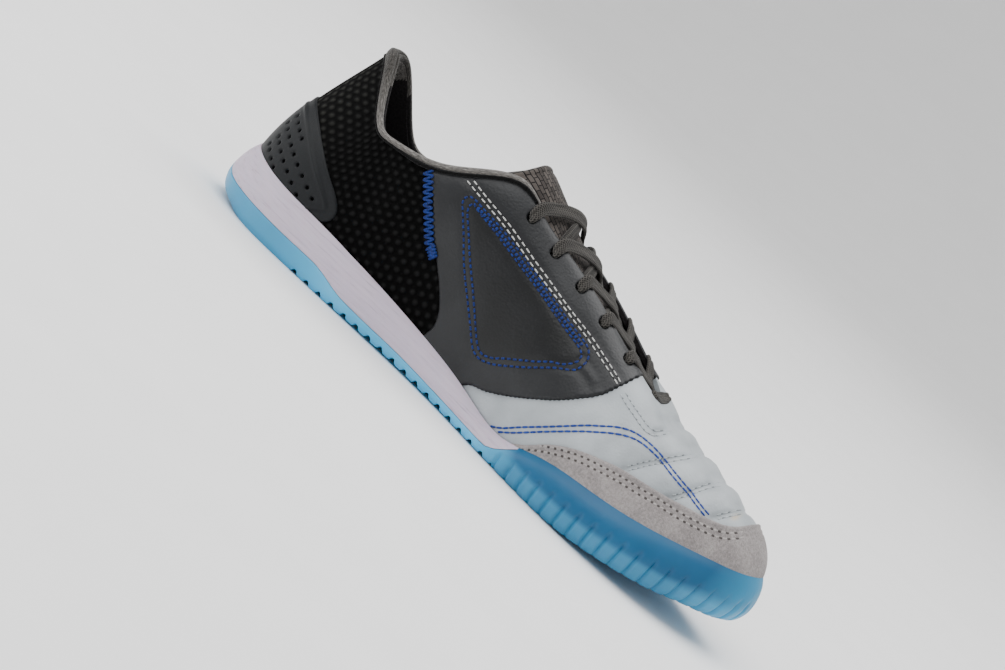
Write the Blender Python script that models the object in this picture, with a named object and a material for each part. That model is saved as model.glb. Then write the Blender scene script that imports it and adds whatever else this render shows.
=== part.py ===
"""Indoor soccer shoe for the left foot, built as a maker builds it.

A cup outsole and a foam midsole carry one hollow upper. A suede toe guard, a moulded
heel counter and two leather quarters lie on the upper, a padded tongue fills its
throat, a rolled binding covers the edge of the collar, and flat laces cross the tongue.

Lengths are metres, +Z is up and +X points to the toe. On this left shoe the medial
side is at -Y. The origin is on the floor, under the middle of the sole's outline.
"""

import math
from collections import namedtuple

import bmesh
import bpy
import numpy as np
from mathutils import Vector
from mathutils.bvhtree import BVHTree

MM = 0.001

# Main sizes of the shoe
SHOE_LENGTH = 292 * MM
BALL_WIDTH = 104 * MM
HEEL_WIDTH = 73 * MM
HEEL_HEIGHT = 92.5 * MM
INSTEP_HEIGHT = 91 * MM
VAMP_HEIGHT = 61 * MM

# Sole
TOE_SPRING = 13.5 * MM
LEVEL = 0.04 * MM
HEEL_STACK = 16 * MM
FOREFOOT_STACK = 8 * MM
HEEL_SIDE = 27 * MM
TOE_SIDE = 24.5 * MM
OUTSOLE_HEEL = 9.7 * MM
RIM_LIP = 1.2 * MM
CUP_GAP = 0.4 * MM
RIB_PITCH = 7.0 * MM
RIB_DEPTH = 0.9 * MM
GROOVE_DEPTH = 2.0 * MM
GROOVE_WIDTH = 2.6 * MM
HEEL_ROLL = 9 * MM
SIDE_ROLL = 3 * MM
TOE_ROLL = 7 * MM

# Upper, its overlays and what lies in it
WALL = 2.0 * MM
COLLAR_WALL = 5.0 * MM
COLLAR_DROP = 4.0 * MM
HANDLE = 10 * MM
FEATHER_INSET = 6.5 * MM
OVERLAY = 1.2 * MM
INSOLE_THICK = 4.0 * MM
TONGUE_THICK = 4.5 * MM
TONGUE_TUCK = 7.0 * MM
TONGUE_UNDER_VAMP = 10.0 * MM
TONGUE_END = 0.3613 * SHOE_LENGTH
TONGUE_SHOULDER = 0.0616 * SHOE_LENGTH
TONGUE_TUCK_RUN = 0.2055 * SHOE_LENGTH
TONGUE_SWEEP = 0.0188 * SHOE_LENGTH
TONGUE_WINGS = 3.0 * MM
TONGUE_GAP = 4.6 * MM
TONGUE_CLEARANCE = 0.65 * MM
BINDING_HEIGHT = 2.8 * MM
BINDING_GAP = 0.5 * MM
BINDING_OVERHANG = 0.7 * MM
CLEARANCE = 0.3 * MM

# Lacing
EYELET_PAIRS = 6
EYELET_RADIUS = 2.1 * MM
EYELET_INSET = 5.5 * MM
FIRST_EYELET = 0.411
LAST_EYELET = 0.700
LACE_WIDTH = 5.5 * MM
LACE_THICK = 1.2 * MM
LACE_REST = 0.7 * MM
LACE_SLANT = 0.62
LACE_EDGE_GAP = 3.4 * MM
LACE_SINK = (2.0 * MM, 11.0 * MM)
QUARTER_END = (0.666 * SHOE_LENGTH, 0.6815 * SHOE_LENGTH)

# How finely curved forms are divided
UPPER_COLUMNS = 64
UPPER_ROWS = 9
REAR_STEP = 10.5 * MM

L, B, W = SHOE_LENGTH, BALL_WIDTH, HEEL_WIDTH

# One row for each station of the sole, from the heel's back to the toe's tip. Where the
# outline lies along the shoe and to either side of its middle line, how far the tread
# springs off the floor, how thick the sole is under the foot, how high its side stands
# over the tread, and how wide its lower edge is rolled.
Sole = namedtuple("Sole", "along medial lateral spring stack side roll")
SOLE = [
    Sole(0.000 * L, 0.000 * W, 0.000 * W, 0.00, 1.00 * HEEL_STACK, 1.00 * HEEL_SIDE, HEEL_ROLL),
    Sole(0.024 * L, 0.274 * W, 0.274 * W, 0.00, 1.00 * HEEL_STACK, 0.95 * HEEL_SIDE, HEEL_ROLL),
    Sole(0.090 * L, 0.454 * W, 0.460 * W, 0.00, 1.00 * HEEL_STACK, 0.88 * HEEL_SIDE, SIDE_ROLL),
    Sole(0.175 * L, 0.500 * W, 0.507 * W, 0.00, 0.98 * HEEL_STACK, 0.86 * HEEL_SIDE, SIDE_ROLL),
    Sole(0.245 * L, 0.490 * W, 0.518 * W, 0.00, 0.94 * HEEL_STACK, 0.82 * HEEL_SIDE, SIDE_ROLL),
    Sole(0.305 * L, 0.476 * W, 0.532 * W, 0.05, 0.88 * HEEL_STACK, 0.75 * HEEL_SIDE, SIDE_ROLL),
    Sole(0.355 * L, 0.466 * W, 0.550 * W, 0.07, 0.82 * HEEL_STACK, 0.69 * HEEL_SIDE, SIDE_ROLL),
    Sole(0.415 * L, 0.324 * B, 0.405 * B, 0.07, 1.48 * FOREFOOT_STACK, 0.62 * HEEL_SIDE, SIDE_ROLL),
    Sole(0.500 * L, 0.351 * B, 0.453 * B, 0.04, 1.25 * FOREFOOT_STACK, 0.50 * HEEL_SIDE, SIDE_ROLL),
    Sole(0.590 * L, 0.417 * B, 0.489 * B, 0.00, 1.06 * FOREFOOT_STACK, 0.46 * TOE_SIDE, SIDE_ROLL),
    Sole(0.658 * L, 0.467 * B, 0.498 * B, 0.00, 1.00 * FOREFOOT_STACK, 0.71 * TOE_SIDE, SIDE_ROLL),
    Sole(0.736 * L, 0.498 * B, 0.484 * B, 0.06, 1.00 * FOREFOOT_STACK, 0.85 * TOE_SIDE, SIDE_ROLL),
    Sole(0.815 * L, 0.488 * B, 0.433 * B, 0.28, 1.00 * FOREFOOT_STACK, 0.88 * TOE_SIDE, SIDE_ROLL),
    Sole(0.890 * L, 0.421 * B, 0.338 * B, 0.57, 1.00 * FOREFOOT_STACK, 0.92 * TOE_SIDE, SIDE_ROLL),
    Sole(0.952 * L, 0.300 * B, 0.214 * B, 0.81, 1.00 * FOREFOOT_STACK, 0.96 * TOE_SIDE, TOE_ROLL),
    Sole(0.990 * L, 0.178 * B, 0.078 * B, 0.96, 1.00 * FOREFOOT_STACK, 0.99 * TOE_SIDE, TOE_ROLL),
    Sole(1.000 * L, 0.050 * B, -0.050 * B, 1.00, 1.00 * FOREFOOT_STACK, 1.00 * TOE_SIDE, TOE_ROLL),
]

# One row for each same station of the upper. Where its edge at the collar or throat
# lies, and which share of the collar's drop it is lower by on the lateral side. Then, in
# handles, the curve that runs up to it from the sole: how far it rises and flares at the
# sole, and how far it reaches out and falls below the edge. The last columns are shares
# of the collar's wall and of the binding's height.
Upper = namedtuple("Upper", "along across height drop rise flare reach fall wall binding")
UPPER = [
    Upper(0.068 * L, 0.000 * W, 1.000 * HEEL_HEIGHT, 0.000, 2.60, 0.60, 0.50, 2.00, 1.0, 1.00),
    Upper(0.087 * L, 0.172 * W, 0.972 * HEEL_HEIGHT, 0.050, 2.40, 0.55, 0.50, 2.00, 1.0, 1.00),
    Upper(0.143 * L, 0.370 * W, 0.766 * HEEL_HEIGHT, 0.750, 2.00, 0.35, 0.40, 1.80, 1.0, 1.00),
    Upper(0.195 * L, 0.432 * W, 0.732 * HEEL_HEIGHT, 1.000, 1.80, 0.30, 0.30, 1.60, 1.0, 1.00),
    Upper(0.260 * L, 0.425 * W, 0.790 * INSTEP_HEIGHT, 1.000, 2.00, 0.30, 0.50, 1.60, 1.0, 1.57),
    Upper(0.318 * L, 0.400 * W, 0.910 * INSTEP_HEIGHT, 0.750, 2.40, 0.40, 0.70, 1.60, 0.8, 1.93),
    Upper(0.364 * L, 0.360 * W, 0.998 * INSTEP_HEIGHT, 0.375, 2.80, 0.50, 1.00, 1.40, 0.6, 1.29),
    Upper(0.416 * L, 0.226 * B, 0.966 * INSTEP_HEIGHT, 0.125, 2.80, 0.60, 1.20, 1.10, 0.4, 0.57),
    Upper(0.484 * L, 0.207 * B, 0.910 * INSTEP_HEIGHT, 0.000, 2.60, 0.55, 1.30, 1.00, 0.4, 0.36),
    Upper(0.546 * L, 0.190 * B, 0.857 * INSTEP_HEIGHT, 0.000, 2.40, 0.50, 1.40, 0.80, 0.4, 0.36),
    Upper(0.595 * L, 0.172 * B, 0.805 * INSTEP_HEIGHT, 0.000, 2.30, 0.45, 1.50, 0.70, 0.4, 0.36),
    Upper(0.640 * L, 0.150 * B, 1.125 * VAMP_HEIGHT, 0.000, 2.30, 0.40, 1.80, 0.60, 0.4, 0.36),
    Upper(0.668 * L, 0.126 * B, 1.082 * VAMP_HEIGHT, 0.000, 2.40, 0.40, 2.30, 0.50, 0.4, 0.36),
    Upper(0.685 * L, 0.098 * B, 1.045 * VAMP_HEIGHT, 0.000, 2.60, 0.45, 3.00, 0.50, 0.4, 0.36),
    Upper(0.696 * L, 0.066 * B, 1.020 * VAMP_HEIGHT, 0.000, 3.10, 0.60, 3.80, 0.60, 0.4, 0.36),
    Upper(0.702 * L, 0.030 * B, 1.005 * VAMP_HEIGHT, 0.000, 3.50, 0.85, 4.20, 0.60, 0.4, 0.36),
    Upper(0.704 * L, 0.000 * B, 1.000 * VAMP_HEIGHT, 0.000, 3.60, 0.90, 4.30, 0.60, 0.4, 0.36),
]

# Height of the tongue's middle line, from its end to under the vamp
Crest = namedtuple("Crest", "along height")
CREST = [
    Crest(0.340 * L, 1.155 * INSTEP_HEIGHT),
    Crest(0.362 * L, 1.125 * INSTEP_HEIGHT),
    Crest(0.389 * L, 1.088 * INSTEP_HEIGHT),
    Crest(0.422 * L, 1.038 * INSTEP_HEIGHT),
    Crest(0.470 * L, 0.958 * INSTEP_HEIGHT),
    Crest(0.520 * L, 0.870 * INSTEP_HEIGHT),
    Crest(0.570 * L, 0.795 * INSTEP_HEIGHT),
    Crest(0.620 * L, 1.086 * VAMP_HEIGHT),
    Crest(0.660 * L, 1.003 * VAMP_HEIGHT),
    Crest(0.700 * L, 0.959 * VAMP_HEIGHT),
]

# Where the outsole's side ends and the foam above it begins, seen from the side.
# Heights are shares of the outsole's thickness at the heel.
Parting = namedtuple("Parting", "along height")
PARTING = [
    Parting(-0.030, 1.34),
    Parting(0.009, 1.24),
    Parting(0.038, 1.04),
    Parting(0.080, 1.00),
    Parting(0.250, 0.98),
    Parting(0.266, 0.86),
    Parting(0.284, 0.66),
    Parting(0.310, 0.59),
    Parting(0.400, 0.57),
    Parting(0.490, 0.48),
    Parting(0.575, 0.44),
    Parting(0.592, 0.55),
    Parting(0.604, 0.75),
    Parting(0.625, 1.30),
]

# Edges of the overlays seen from the side, along the shoe and up, as shares of its
# length and of the instep's height.
Edge = namedtuple("Edge", "along height")
COUNTER_EDGE = [
    Edge(-0.030, 0.660),
    Edge(0.034, 0.632),
    Edge(0.072, 0.584),
    Edge(0.108, 0.520),
    Edge(0.146, 0.450),
    Edge(0.176, 0.398),
    Edge(0.192, 0.354),
    Edge(0.196, 0.310),
    Edge(0.190, 0.270),
    Edge(0.172, 0.245),
]
QUARTER_BACK_EDGE = [
    Edge(0.205, 0.900),
    Edge(0.255, 0.778),
    Edge(0.289, 0.686),
    Edge(0.321, 0.577),
    Edge(0.367, 0.448),
    Edge(0.393, 0.362),
    Edge(0.405, 0.300),
    Edge(0.408, 0.250),
    Edge(0.404, 0.205),
]
QUARTER_FRONT_EDGE = [
    Edge(0.491, 0.166),
    Edge(0.506, 0.184),
    Edge(0.531, 0.216),
    Edge(0.557, 0.266),
    Edge(0.584, 0.327),
    Edge(0.618, 0.418),
    Edge(0.643, 0.503),
    Edge(0.658, 0.567),
    Edge(0.665, 0.631),
    Edge(0.669, 0.680),
    Edge(0.671, 0.760),
    Edge(0.671, 0.900),
]
GUARD_EDGE = [
    Edge(0.603, 0.115),
    Edge(0.629, 0.180),
    Edge(0.658, 0.266),
    Edge(0.692, 0.333),
    Edge(0.725, 0.373),
    Edge(0.790, 0.419),
    Edge(0.851, 0.459),
    Edge(0.881, 0.478),
    Edge(0.904, 0.501),
    Edge(0.917, 0.537),
    Edge(0.924, 0.568),
    Edge(0.926, 0.700),
]


# Smooth closed curves through the stations


def closed_spline(shares, rows):
    """Returns a function that gives the smooth closed curve through rows at their shares of a turn."""
    count = len(shares)
    knots = np.append(shares, shares[0] + 1.0)
    values = np.vstack([rows, rows[:1]])
    gap = np.diff(knots)
    slope = np.diff(values, axis=0) / gap[:, None]
    matrix = np.zeros((count, count))
    right = np.zeros((count, values.shape[1]))
    for i in range(count):
        matrix[i, i - 1] += gap[i - 1]
        matrix[i, i] += 2.0 * (gap[i - 1] + gap[i])
        matrix[i, (i + 1) % count] += gap[i]
        right[i] = 6.0 * (slope[i] - slope[i - 1])
    bend = np.linalg.solve(matrix, right)
    bend = np.vstack([bend, bend[:1]])

    def at(turn):
        turn = np.asarray(turn, float) % 1.0
        i = np.clip(np.searchsorted(knots, turn, side="right") - 1, 0, count - 1)
        step = gap[i][..., None]
        a = (knots[i + 1] - turn)[..., None]
        b = (turn - knots[i])[..., None]
        line = (values[i] / step - bend[i] * step / 6.0) * a
        line += (values[i + 1] / step - bend[i + 1] * step / 6.0) * b
        return line + (bend[i] * a**3 + bend[i + 1] * b**3) / (6.0 * step)

    return at


def side_shares(side):
    """Shares of half a turn at the stations, by the length of that side of the outline."""
    points = np.array([[row.along, getattr(row, side)] for row in SOLE])
    steps = np.hypot(*np.diff(points, axis=0).T)
    return 0.5 * np.append(0.0, np.cumsum(steps)) / steps.sum()


def station_rows(sign):
    """The columns of both tables on one side: -1 is the medial side and 1 the lateral."""
    rows = []
    for sole, upper in zip(SOLE, UPPER):
        across = -sole.medial if sign < 0 else sole.lateral
        rows.append(
            [
                sole.along,
                across,
                sole.spring * TOE_SPRING,
                sole.stack,
                sole.side,
                sole.roll,
                upper.along,
                sign * upper.across,
                upper.height - (upper.drop * COLLAR_DROP if sign > 0 else 0.0),
                upper.rise * HANDLE,
                upper.flare * HANDLE,
                upper.reach * HANDLE,
                upper.fall * HANDLE,
                upper.wall * COLLAR_WALL,
                upper.binding * BINDING_HEIGHT,
            ]
        )
    return rows


SHARES = (side_shares("medial") + side_shares("lateral")) / 2.0
COLUMNS = closed_spline(
    np.append(SHARES, 1.0 - SHARES[-2:0:-1]),
    np.array(station_rows(-1) + station_rows(1)[-2:0:-1]),
)


def outline(turn):
    """Widest outline of the sole, in plan, and its outward direction."""
    nudge = 1e-4
    point = COLUMNS(turn)[..., :2]
    along = COLUMNS(np.asarray(turn) + nudge)[..., :2] - COLUMNS(np.asarray(turn) - nudge)[..., :2]
    along /= np.linalg.norm(along, axis=-1)[..., None]
    return point, np.stack([along[..., 1], -along[..., 0]], -1)


def tread_height(turn):
    """Height of the tread, quite flat where the table has it on the floor."""
    return np.maximum(COLUMNS(turn)[..., 2] - LEVEL, 0.0)


def floor_height(turn):
    """Top of the sole under the foot."""
    return tread_height(turn) + COLUMNS(turn)[..., 3]


def rim_height(turn):
    """Top of the sole's side."""
    return tread_height(turn) + COLUMNS(turn)[..., 4]


# The upper's own surface


def upper_point(turn, rise):
    """Point of the upper's outer face: turn goes round the shoe, and rise from the sole, 0, to the edge, 1."""
    turn, rise = np.broadcast_arrays(np.asarray(turn, float), np.asarray(rise, float))
    columns = COLUMNS(turn)
    edge, outward = outline(turn)
    bottom = np.concatenate([edge - outward * FEATHER_INSET, (floor_height(turn) + CLEARANCE)[..., None]], -1)
    top = columns[..., 6:9]
    out = np.concatenate([outward, np.zeros(turn.shape + (1,))], -1)
    up = np.array([0.0, 0.0, 1.0])
    toward = bottom - top
    toward[..., 2] = 0.0
    toward += out * 3.0 * HANDLE
    toward /= np.linalg.norm(toward, axis=-1)[..., None]
    low = bottom + up * columns[..., 9:10] + out * columns[..., 10:11]
    high = top + toward * columns[..., 11:12] - up * columns[..., 12:13]
    t = rise[..., None]
    return (
        bottom * (1 - t) ** 3
        + low * 3 * t * (1 - t) ** 2
        + high * 3 * t**2 * (1 - t)
        + top * t**3
    )


def upper_normal(turn, rise):
    nudge = 1e-4
    rise = np.asarray(rise, float)
    low, high = np.maximum(rise - nudge, 0.0), np.minimum(rise + nudge, 1.0)
    round_it = upper_point(np.asarray(turn) + nudge, rise) - upper_point(np.asarray(turn) - nudge, rise)
    up_it = upper_point(turn, high) - upper_point(turn, low)
    normal = np.cross(round_it, up_it)
    return normal / np.linalg.norm(normal, axis=-1)[..., None]


def upper_offset(turn, rise, distance):
    """A point at that distance outside the upper's outer face."""
    return upper_point(turn, rise) + upper_normal(turn, rise) * np.asarray(distance)[..., None]


def wall_thickness(turn, rise):
    edge = COLUMNS(turn)[..., 13]
    blend = np.clip((np.asarray(rise) - 0.35) / 0.5, 0.0, 1.0)
    return WALL + (edge - WALL) * blend * blend * (3 - 2 * blend)


def rise_at_height(turn, height):
    """The share of the way up at which the upper stands at this height above the floor."""
    low, high = np.zeros_like(turn), np.full_like(turn, 0.6)
    for _ in range(30):
        middle = (low + high) / 2
        below = upper_point(turn, middle)[..., 2] < height
        low, high = np.where(below, middle, low), np.where(below, high, middle)
    return (low + high) / 2


def even_turns(count):
    return np.arange(count) / count


UPPER_TURNS = even_turns(UPPER_COLUMNS)
UPPER_RISES = np.linspace(0.0, 1.0, UPPER_ROWS + 1)


# Meshes and objects


def clear_scene():
    for thing in list(bpy.data.objects):
        bpy.data.objects.remove(thing)


def new_collection(name):
    made = bpy.data.collections.new(name)
    bpy.context.scene.collection.children.link(made)
    return made


def material(name, colour, roughness):
    made = bpy.data.materials.new(name)
    made.use_nodes = True
    shader = made.node_tree.nodes["Principled BSDF"]
    shader.inputs["Base Color"].default_value = (*colour, 1.0)
    shader.inputs["Roughness"].default_value = roughness
    return made


def add_object(name, points, faces, collection):
    mesh = bpy.data.meshes.new(name)
    mesh.from_pydata([tuple(p) for p in points], [], faces)
    work = bmesh.new()
    work.from_mesh(mesh)
    bmesh.ops.recalc_face_normals(work, faces=work.faces)
    work.to_mesh(mesh)
    work.free()
    thing = bpy.data.objects.new(name, mesh)
    collection.objects.link(thing)
    return thing


def ring_faces(rings, count):
    """Quads between each ring of count points and the next."""
    faces = []
    for ring in range(rings - 1):
        for i in range(count):
            j = (i + 1) % count
            a, b = ring * count, (ring + 1) * count
            faces.append((a + i, a + j, b + j, b + i))
    return faces


def ladder_faces(first, count):
    """Quads that close a ring whose points pair up across the shoe, from heel to toe."""
    faces = [(first, first + 1, first + count - 1)]
    for i in range(1, count // 2 - 1):
        faces.append((first + i, first + i + 1, first + count - i - 1, first + count - i))
    half = count // 2
    faces.append((first + half - 1, first + half, first + half + 1))
    return faces


def stacked_solid(name, rings, collection):
    """A closed solid through rings that each pair up across the shoe."""
    count = len(rings[0])
    faces = ring_faces(len(rings), count)
    faces += ladder_faces(0, count)
    faces += ladder_faces((len(rings) - 1) * count, count)
    return add_object(name, np.vstack(rings), faces, collection)


def sheet_solid(name, outer, inner, collection):
    """A closed solid between two open grids of the same shape, rows by columns."""
    rows, columns = outer.shape[:2]
    size = rows * columns
    faces = []
    for base in (0, size):
        for r in range(rows - 1):
            for c in range(columns - 1):
                a = base + r * columns + c
                faces.append((a, a + 1, a + columns + 1, a + columns))
    border = [c for c in range(columns - 1)]
    border += [r * columns + columns - 1 for r in range(rows - 1)]
    border += [size - 1 - c for c in range(columns - 1)]
    border += [(rows - 1 - r) * columns for r in range(rows - 1)]
    for a, b in zip(border, border[1:] + border[:1]):
        faces.append((a, b, size + b, size + a))
    return add_object(name, np.vstack([outer.reshape(-1, 3), inner.reshape(-1, 3)]), faces, collection)


def prism(name, polygon, low, high, collection):
    """A closed block with this outline seen from the side, from one place across the shoe to another."""
    count = len(polygon)
    points = [(x, y, z) for y in (low, high) for x, z in polygon]
    faces = [tuple(range(count)), tuple(range(2 * count - 1, count - 1, -1))]
    faces += [(i, (i + 1) % count, count + (i + 1) % count, count + i) for i in range(count)]
    made = add_object(name, points, faces, collection)
    made.hide_render = True
    made.display_type = "WIRE"
    return made


def boolean(thing, cutter, operation):
    cut = thing.modifiers.new(cutter.name, "BOOLEAN")
    cut.operation = operation
    cut.object = cutter


def rim_over(place):
    """Height of the sole's rim at this place along the shoe, seen from the side."""
    turns = np.linspace(0.0, 0.5, 200)
    height = rim_height(turns)
    inner = upper_point(turns, rise_at_height(turns, height))[:, 0]
    return np.maximum(np.interp(place, inner, height), np.interp(place, COLUMNS(turns)[:, 0], height))


def rim_polyline(first, last):
    """Points just above the sole's rim seen from the side, from one place along the shoe to another."""
    return [(x, rim_over(x) + 2.5 * CLEARANCE) for x in np.linspace(first, last, 14)]


# Sole


def sole_turns():
    """Shares of a turn at the sole's points: two for each rib of the forefoot, and wide steps behind."""
    fine = np.linspace(0.0, 0.5, 2000)
    points = COLUMNS(fine)[:, :2]
    length = np.append(0.0, np.cumsum(np.hypot(*np.diff(points, axis=0).T)))
    start = np.interp(SOLE[9].along, points[:, 0], length)
    ribs = round((length[-1] - start) / RIB_PITCH)
    front = np.linspace(start, length[-1], 2 * ribs + 1)
    rear = np.linspace(0.0, start, round(start / REAR_STEP) + 1)[:-1]
    half = np.interp(np.append(rear, front), length, fine)
    turns = np.append(half, 1.0 - half[-2:0:-1])
    first_rib = len(rear)
    ribbed = np.zeros(len(turns))
    ribbed[first_rib : len(half) : 2] = 1.0
    ribbed[len(half) :] = ribbed[len(half) - 2 : 0 : -1]
    return turns, ribbed


def sole_rings(turns, ribbed):
    """Rings of the sole from its underside, up its side, over its rim and down to the footbed."""
    edge, outward = outline(turns)
    tread, floor, rim = tread_height(turns), floor_height(turns), rim_height(turns)
    roll = COLUMNS(turns)[:, 5]
    side = rim - tread
    cup = upper_offset(turns, rise_at_height(turns, rim), CUP_GAP)
    rim_inset = np.einsum("ij,ij->i", edge - cup[:, :2], outward) - RIM_LIP

    def ring(inset, height, depth):
        plan = edge - outward * (inset + depth * ribbed)[:, None]
        return np.column_stack([plan, height])

    def cup_ring(height):
        wall = upper_offset(turns, rise_at_height(turns, height), CUP_GAP)
        return np.column_stack([wall[:, :2], height])

    return [
        ring(roll, tread, RIB_DEPTH),
        ring(0.35 * roll, tread + 0.12 * side, RIB_DEPTH),
        ring(0.06 * roll, tread + 0.30 * side, RIB_DEPTH),
        ring(0.0 * roll, tread + 0.48 * side, 0.6 * RIB_DEPTH),
        ring(0.12 * rim_inset, tread + 0.64 * side, 0.0),
        ring(0.45 * rim_inset, tread + 0.83 * side, 0.0),
        ring(rim_inset, rim, 0.0),
        cup_ring(rim),
        cup_ring((floor + rim) / 2),
        cup_ring(floor),
    ]


def sole_blank(name, collection):
    turns, ribbed = sole_turns()
    return stacked_solid(name, sole_rings(turns, ribbed), collection)


def parting_polygon(gap):
    """Side view of the foam's space, from the parting line up."""
    line = [(row.along * L, row.height * OUTSOLE_HEEL + gap) for row in PARTING]
    shifted = [(x - gap, z) for x, z in line]
    top = HEEL_SIDE + TOE_SIDE + 2 * HEEL_STACK
    return shifted + [(shifted[-1][0], top), (shifted[0][0], top)]


def groove_cutter(collection):
    """Bars with sloping sides that cut the lugs of the tread."""
    points, faces = [], []
    turns = np.linspace(0.0, 0.5, 400)
    along, tread = COLUMNS(turns)[:, 0], tread_height(turns)
    place = 0.205 * L
    while place < 0.60 * L:
        height = np.interp(place, along, tread)
        slope = (np.interp(place + MM, along, tread) - np.interp(place - MM, along, tread)) / (2 * MM)
        profile = [
            (-GROOVE_WIDTH, -GROOVE_DEPTH),
            (GROOVE_WIDTH, -GROOVE_DEPTH),
            (0.25 * GROOVE_WIDTH, GROOVE_DEPTH),
            (-0.25 * GROOVE_WIDTH, GROOVE_DEPTH),
        ]
        base = len(points)
        for y in (-B, B):
            points += [(place + x, y, height + z + slope * x) for x, z in profile]
        faces += [(base, base + 1, base + 2, base + 3), (base + 7, base + 6, base + 5, base + 4)]
        faces += [(base + i, base + (i + 1) % 4, base + 4 + (i + 1) % 4, base + 4 + i) for i in range(4)]
        place += RIB_PITCH
    made = add_object("tread_grooves", points, faces, collection)
    made.hide_render = True
    made.display_type = "WIRE"
    return made


def build_sole(parts, cutters):
    wide = 2 * B
    foam_space = prism("foam_space", parting_polygon(0.0), -wide, wide, cutters)
    foam_block = prism("foam_block", parting_polygon(CLEARANCE), -wide, wide, cutters)
    outsole = sole_blank("outsole", parts)
    boolean(outsole, foam_space, "DIFFERENCE")
    boolean(outsole, groove_cutter(cutters), "DIFFERENCE")
    midsole = sole_blank("midsole", parts)
    boolean(midsole, foam_block, "INTERSECT")
    return outsole, midsole


# Upper, insole and overlays


def build_upper(parts):
    """One hollow wall from the sole to the collar and throat, open above and below."""
    outer = [upper_point(UPPER_TURNS, rise) for rise in UPPER_RISES]
    inner = [
        upper_offset(UPPER_TURNS, rise, -wall_thickness(UPPER_TURNS, rise)) for rise in UPPER_RISES[::-1]
    ]
    inner[-1][:, 2] = outer[0][:, 2]
    rings = outer + inner
    count = UPPER_COLUMNS
    faces = ring_faces(len(rings), count)
    last = (len(rings) - 1) * count
    faces += [(last + i, last + (i + 1) % count, (i + 1) % count, i) for i in range(count)]
    return add_object("upper", np.vstack(rings), faces, parts)


def build_insole(parts):
    """A sockliner that fills the floor inside the upper."""
    turns = even_turns(UPPER_COLUMNS)
    floor = floor_height(turns) + CLEARANCE

    def ring(height, inset):
        inside = upper_offset(turns, rise_at_height(turns, floor + height), -(WALL + CLEARANCE + inset))
        return np.column_stack([inside[:, :2], floor + height])

    rings = [
        ring(0.0, 2 * CLEARANCE),
        ring(0.5 * INSOLE_THICK, 0.3 * CLEARANCE),
        ring(INSOLE_THICK, 4 * CLEARANCE),
    ]
    return stacked_solid("insole", rings, parts)


def overlay_blank(name, keep, parts):
    """A skin over part of the upper, on the upper's own divisions, closed all round."""
    turns = UPPER_TURNS[keep]
    turns = turns[np.argsort((turns - 0.5) % 1.0)] if name == "heel_counter" else turns
    rises = UPPER_RISES
    grid_turns, grid_rises = np.meshgrid(turns, rises)
    inner = upper_offset(grid_turns, grid_rises, CLEARANCE)
    outer = upper_offset(grid_turns, grid_rises, CLEARANCE + OVERLAY)
    return sheet_solid(name, outer, inner, parts)


def edge_points(edge):
    """Points of an overlay's edge that lie over the sole's rim."""
    points = [(row.along * L, row.height * INSTEP_HEIGHT) for row in edge]
    return [(x, z) for x, z in points if z > rim_over(x) + MM]


def build_heel_counter(parts, cutters):
    edge = edge_points(COUNTER_EDGE)
    bottom = rim_polyline(0.0, edge[-1][0])[::-1]
    outer = [(edge[0][0], bottom[-1][1])]
    along = COLUMNS(UPPER_TURNS)[:, 0]
    counter = overlay_blank("heel_counter", along < 0.26 * L, parts)
    boolean(counter, prism("counter_outline", edge + bottom + outer, -B, B, cutters), "INTERSECT")
    return counter


def build_toe_guard(parts, cutters):
    edge = edge_points(GUARD_EDGE)
    tip = 1.03 * L
    bottom = rim_polyline(edge[0][0], L)
    polygon = edge + [(tip, edge[-1][1]), (tip, bottom[-1][1])] + bottom[::-1]
    along = COLUMNS(UPPER_TURNS)[:, 0]
    guard = overlay_blank("toe_guard", along > 0.56 * L, parts)
    boolean(guard, prism("guard_outline", polygon, -B, B, cutters), "INTERSECT")
    return guard


def build_quarter(side, parts, cutters):
    """Leather of one side, from the black rear to the vamp, with the eyelets in it."""
    back, front = edge_points(QUARTER_BACK_EDGE), edge_points(QUARTER_FRONT_EDGE)
    bottom = rim_polyline(back[-1][0], front[0][0])
    low, high = (-B, 0.0) if side == "medial" else (0.0, B)
    along = COLUMNS(UPPER_TURNS)[:, 0]
    half = UPPER_TURNS < 0.5 if side == "medial" else UPPER_TURNS > 0.5
    quarter = overlay_blank("quarter_" + side, half & (along > 0.18 * L) & (along < 0.86 * L), parts)
    outline_block = prism("quarter_outline_" + side, back + bottom + front, low, high, cutters)
    boolean(quarter, outline_block, "INTERSECT")
    return quarter


def build_binding(parts):
    """A rolled edge on the collar's wall, from one side of the throat round the heel to the other."""
    half = int(SHARES[7] * UPPER_COLUMNS)
    turns = np.arange(-half, half + 1) / UPPER_COLUMNS
    top = upper_point(turns, 1.0)
    normal = upper_normal(turns, 1.0)
    up = upper_point(turns, 1.0) - upper_point(turns, 0.98)
    up /= np.linalg.norm(up, axis=-1)[:, None]
    wall = wall_thickness(turns, 1.0)
    height = COLUMNS(turns)[:, 14]
    profile = [(0.0, 0.0), (-0.2, 0.45), (0.12, 0.9), (0.5, 1.0), (0.8, 0.85), (0.95, 0.45), (0.96, 0.0)]
    rings = []
    for across, rise in profile:
        overhang = BINDING_OVERHANG * min(1.0, 2 * rise) if across < 0.5 else 0.0
        depth = wall * across - overhang
        lift = BINDING_GAP + height * rise
        rings.append(top - normal * depth[:, None] + up * lift[:, None])
    grid = np.stack(rings, 1)
    stations, around = grid.shape[:2]
    faces = [tuple(range(around)), tuple(range(stations * around - 1, (stations - 1) * around - 1, -1))]
    for s in range(stations - 1):
        for a in range(around):
            b = (a + 1) % around
            faces.append((s * around + a, s * around + b, (s + 1) * around + b, (s + 1) * around + a))
    return add_object("collar_binding", grid.reshape(-1, 3), faces, parts)


# Tongue and laces


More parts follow.
